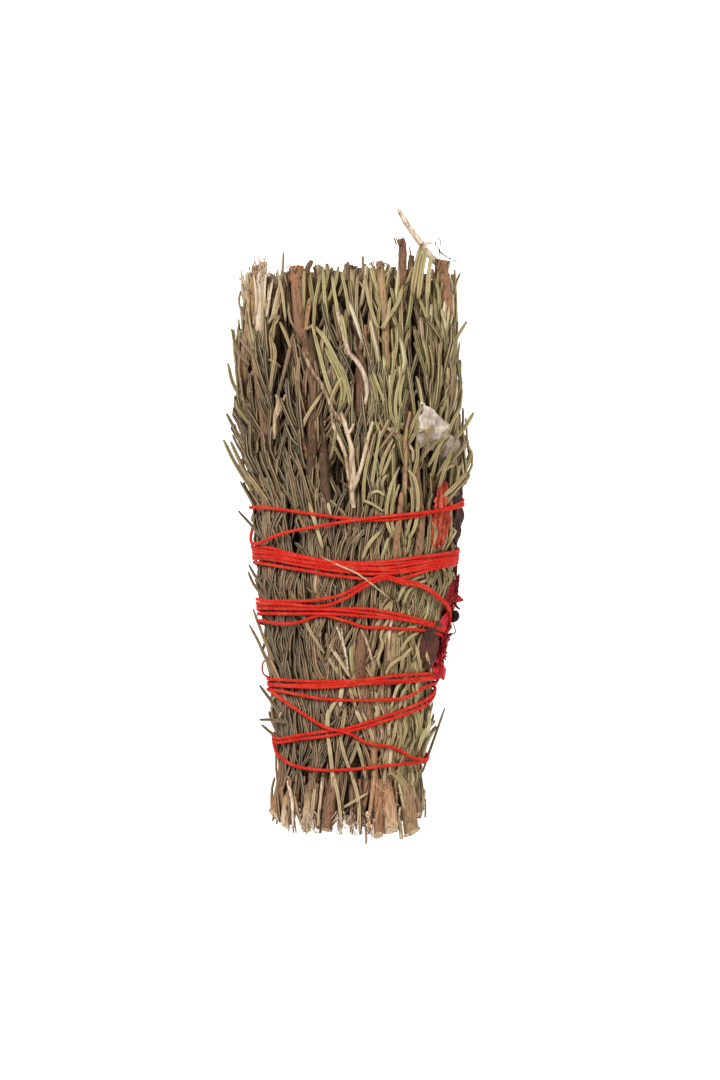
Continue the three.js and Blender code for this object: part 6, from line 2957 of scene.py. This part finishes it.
@dataclass(frozen=True)
class Studio:
    """Camera, floor and light.

    Args:
        aim: x and y at the middle of the picture, in millimetres.
        height: of the camera over the middle of the bundle.
        picture: height of what the picture shows there.
        sensor: the sensor's longer side.
        middle_z: height of the middle of the bundle.
        floor_half: half the floor's side, in metres.
        lamps: the lamps.
        sky_colour: of an even, slightly warm light from all round, as a lit room gives.
        sky_strength: of that light.
    """

    aim: Point = (3.0, -3.25)
    height: float = 900.0
    picture: float = 270.0
    sensor: float = 36.0
    middle_z: float = 28.0
    floor_half: float = 3.0
    lamps: tuple[Lamp, ...] = (
        Lamp("key", (-0.35, 0.4, 0.9), 0.35, 10.8),
        Lamp("fill", (0.6, -0.15, 0.8), 0.8, 5.2),
    )
    sky_colour: Colour = (1.0, 0.86, 0.66, 1)
    sky_strength: float = 0.3

    def add_camera(self) -> None:
        """Adds the camera, which looks straight down."""
        data = bpy.data.cameras.new("camera")
        data.sensor_width = self.sensor
        data.lens = self.sensor * self.height / self.picture
        data.clip_end = 10.0
        camera = add_to_scene("camera", data)
        x, y = (self.aim[0] + ORIGIN_SHIFT[0]) * MM, (self.aim[1] + ORIGIN_SHIFT[1]) * MM
        camera.location = (x, y, (self.height + self.middle_z) * MM)
        bpy.context.scene.camera = camera

    def add_floor(self, material: bpy.types.Material) -> None:
        """Adds the floor.

        Args:
            material: its finish.
        """
        half = self.floor_half
        corners = [(-half, -half, 0), (half, -half, 0), (half, half, 0), (-half, half, 0)]
        mesh = bpy.data.meshes.new("floor")
        mesh.from_pydata(corners, [], [(0, 1, 2, 3)])
        mesh.materials.append(material)
        floor = add_to_scene("floor", mesh)

    def add_sky(self) -> None:
        """Adds the light from all round."""
        world = bpy.data.worlds.new("sky")
        world.use_nodes = True
        background = world.node_tree.nodes["Background"]
        background.inputs["Color"].default_value = self.sky_colour
        background.inputs["Strength"].default_value = self.sky_strength
        bpy.context.scene.world = world

    def build(self) -> None:
        """Sets up the whole picture."""
        bpy.context.scene.view_settings.view_transform = "Standard"
        self.add_camera()
        self.add_floor(FloorFinish().build())
        for lamp in self.lamps:
            lamp.build()
        self.add_sky()


# Everything in order


def keep_sizes() -> None:
    """Updates the view layer."""
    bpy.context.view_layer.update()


def nearest_sprig(strand: Strand) -> int:
    """Finds the outer sprig on which a strand grows.

    Args:
        strand: the strand.

    Returns:
        The sprig's number, from 1.
    """
    y = np.array(strand.points[0][1])
    apart = [abs(math.degrees(float(s.angle(y))) - strand.direction()) for s in OUTER_SPRIGS]
    return apart.index(min(apart)) + 1


def build_outer_sprigs(materials: Materials) -> None:
    """Builds the outer sprigs, each with the strands that grow on it.

    Args:
        materials: needle, bark and cut wood.
    """
    strands: dict[int, list[Strand]] = {}
    for row in STRAYS + LEAVES + FACE:
        strand = Strand.from_row(row)
        strands.setdefault(nearest_sprig(strand), []).append(strand)
    for number, sprig in enumerate(OUTER_SPRIGS, start=1):
        own = strands.get(number, ())
        LeafySprig(sprig, Layer.OUTER, number, strands=own).build(materials)


def build_inner_sprigs(materials: Materials) -> None:
    """Builds the inner sprigs, spread evenly round and with fewer rings to a needle.

    Args:
        materials: needle, bark and cut wood.
    """
    habit = NeedleHabit(
        spacing=1.9, whorl=6, half_width=0.85, rings=(0, 0.3, 0.7, 1.0),
        section=PLAIN_NEEDLE_SECTION, shoots=6,
    )
    for index in range(INNER_COUNT):
        at = (2 * index + 1) * 180 / INNER_COUNT
        sprig = Sprig(
            at, at, -76 + (index * 5) % 4, 62 + (index * 3) % 4, loose=0.0, share=0.5,
            stem=1.2 + 0.22 * (index % 4), bark=0.4, tone=0.36, green=0.15,
        )
        LeafySprig(sprig, Layer.INNER, index + 1, habit, base=0.2).build(materials)


def main() -> None:
    """Builds every piece in order."""
    logging.basicConfig(level=logging.INFO, format="%(name)s %(message)s")
    needle, bark, cut = NeedleFinish().build(), BarkFinish().build(), CutWoodFinish().build()
    Studio().build()
    build_outer_sprigs((needle, bark, cut))
    build_inner_sprigs((needle, bark, cut))
    for stem in MIDDLE_STEMS:
        stem.build((bark, cut))
    Thread().build((ThreadFinish().build(),))
    Twig("forked_twig", FORKED_TWIG, 3).build((PaleTwigFinish().build(), cut))
    grey = PaleTwigFinish("grey_twig", "b39c8a", "6b5344", "ead9c8").build()
    Twig("crooked_twig", CROOKED_TWIG, 4).build((grey, cut))
    grey_leaf = PetalFinish("dry_grey_leaf", "6c5e50", "a5968a", "dfd6cb", 0.75).build()
    brown_petal = PetalFinish("brown_dried_petal", "2b1610", "512d22", "75493a", 0.7).build()
    dark_petal = PetalFinish("dark_dried_petal", "150b0c", "2c1719", "50302c").build()
    crimson_petal = PetalFinish("crimson_dried_petal", "560f14", "ad1f2c", "d8484a").build()
    brick_petal = PetalFinish("brick_dried_petal", "4f1911", "a43a2a", "c8614a").build()
    DRY_LEAF_PATCH.build(grey_leaf)
    MAROON_PATCH.build(dark_petal)
    BROWN_PATCH.build(brown_petal)
    STRIP_PATCH.build(brick_petal)
    PressedFlower().build((crimson_petal, dark_petal))
    keep_sizes()


if __name__ == "__main__":
    main()
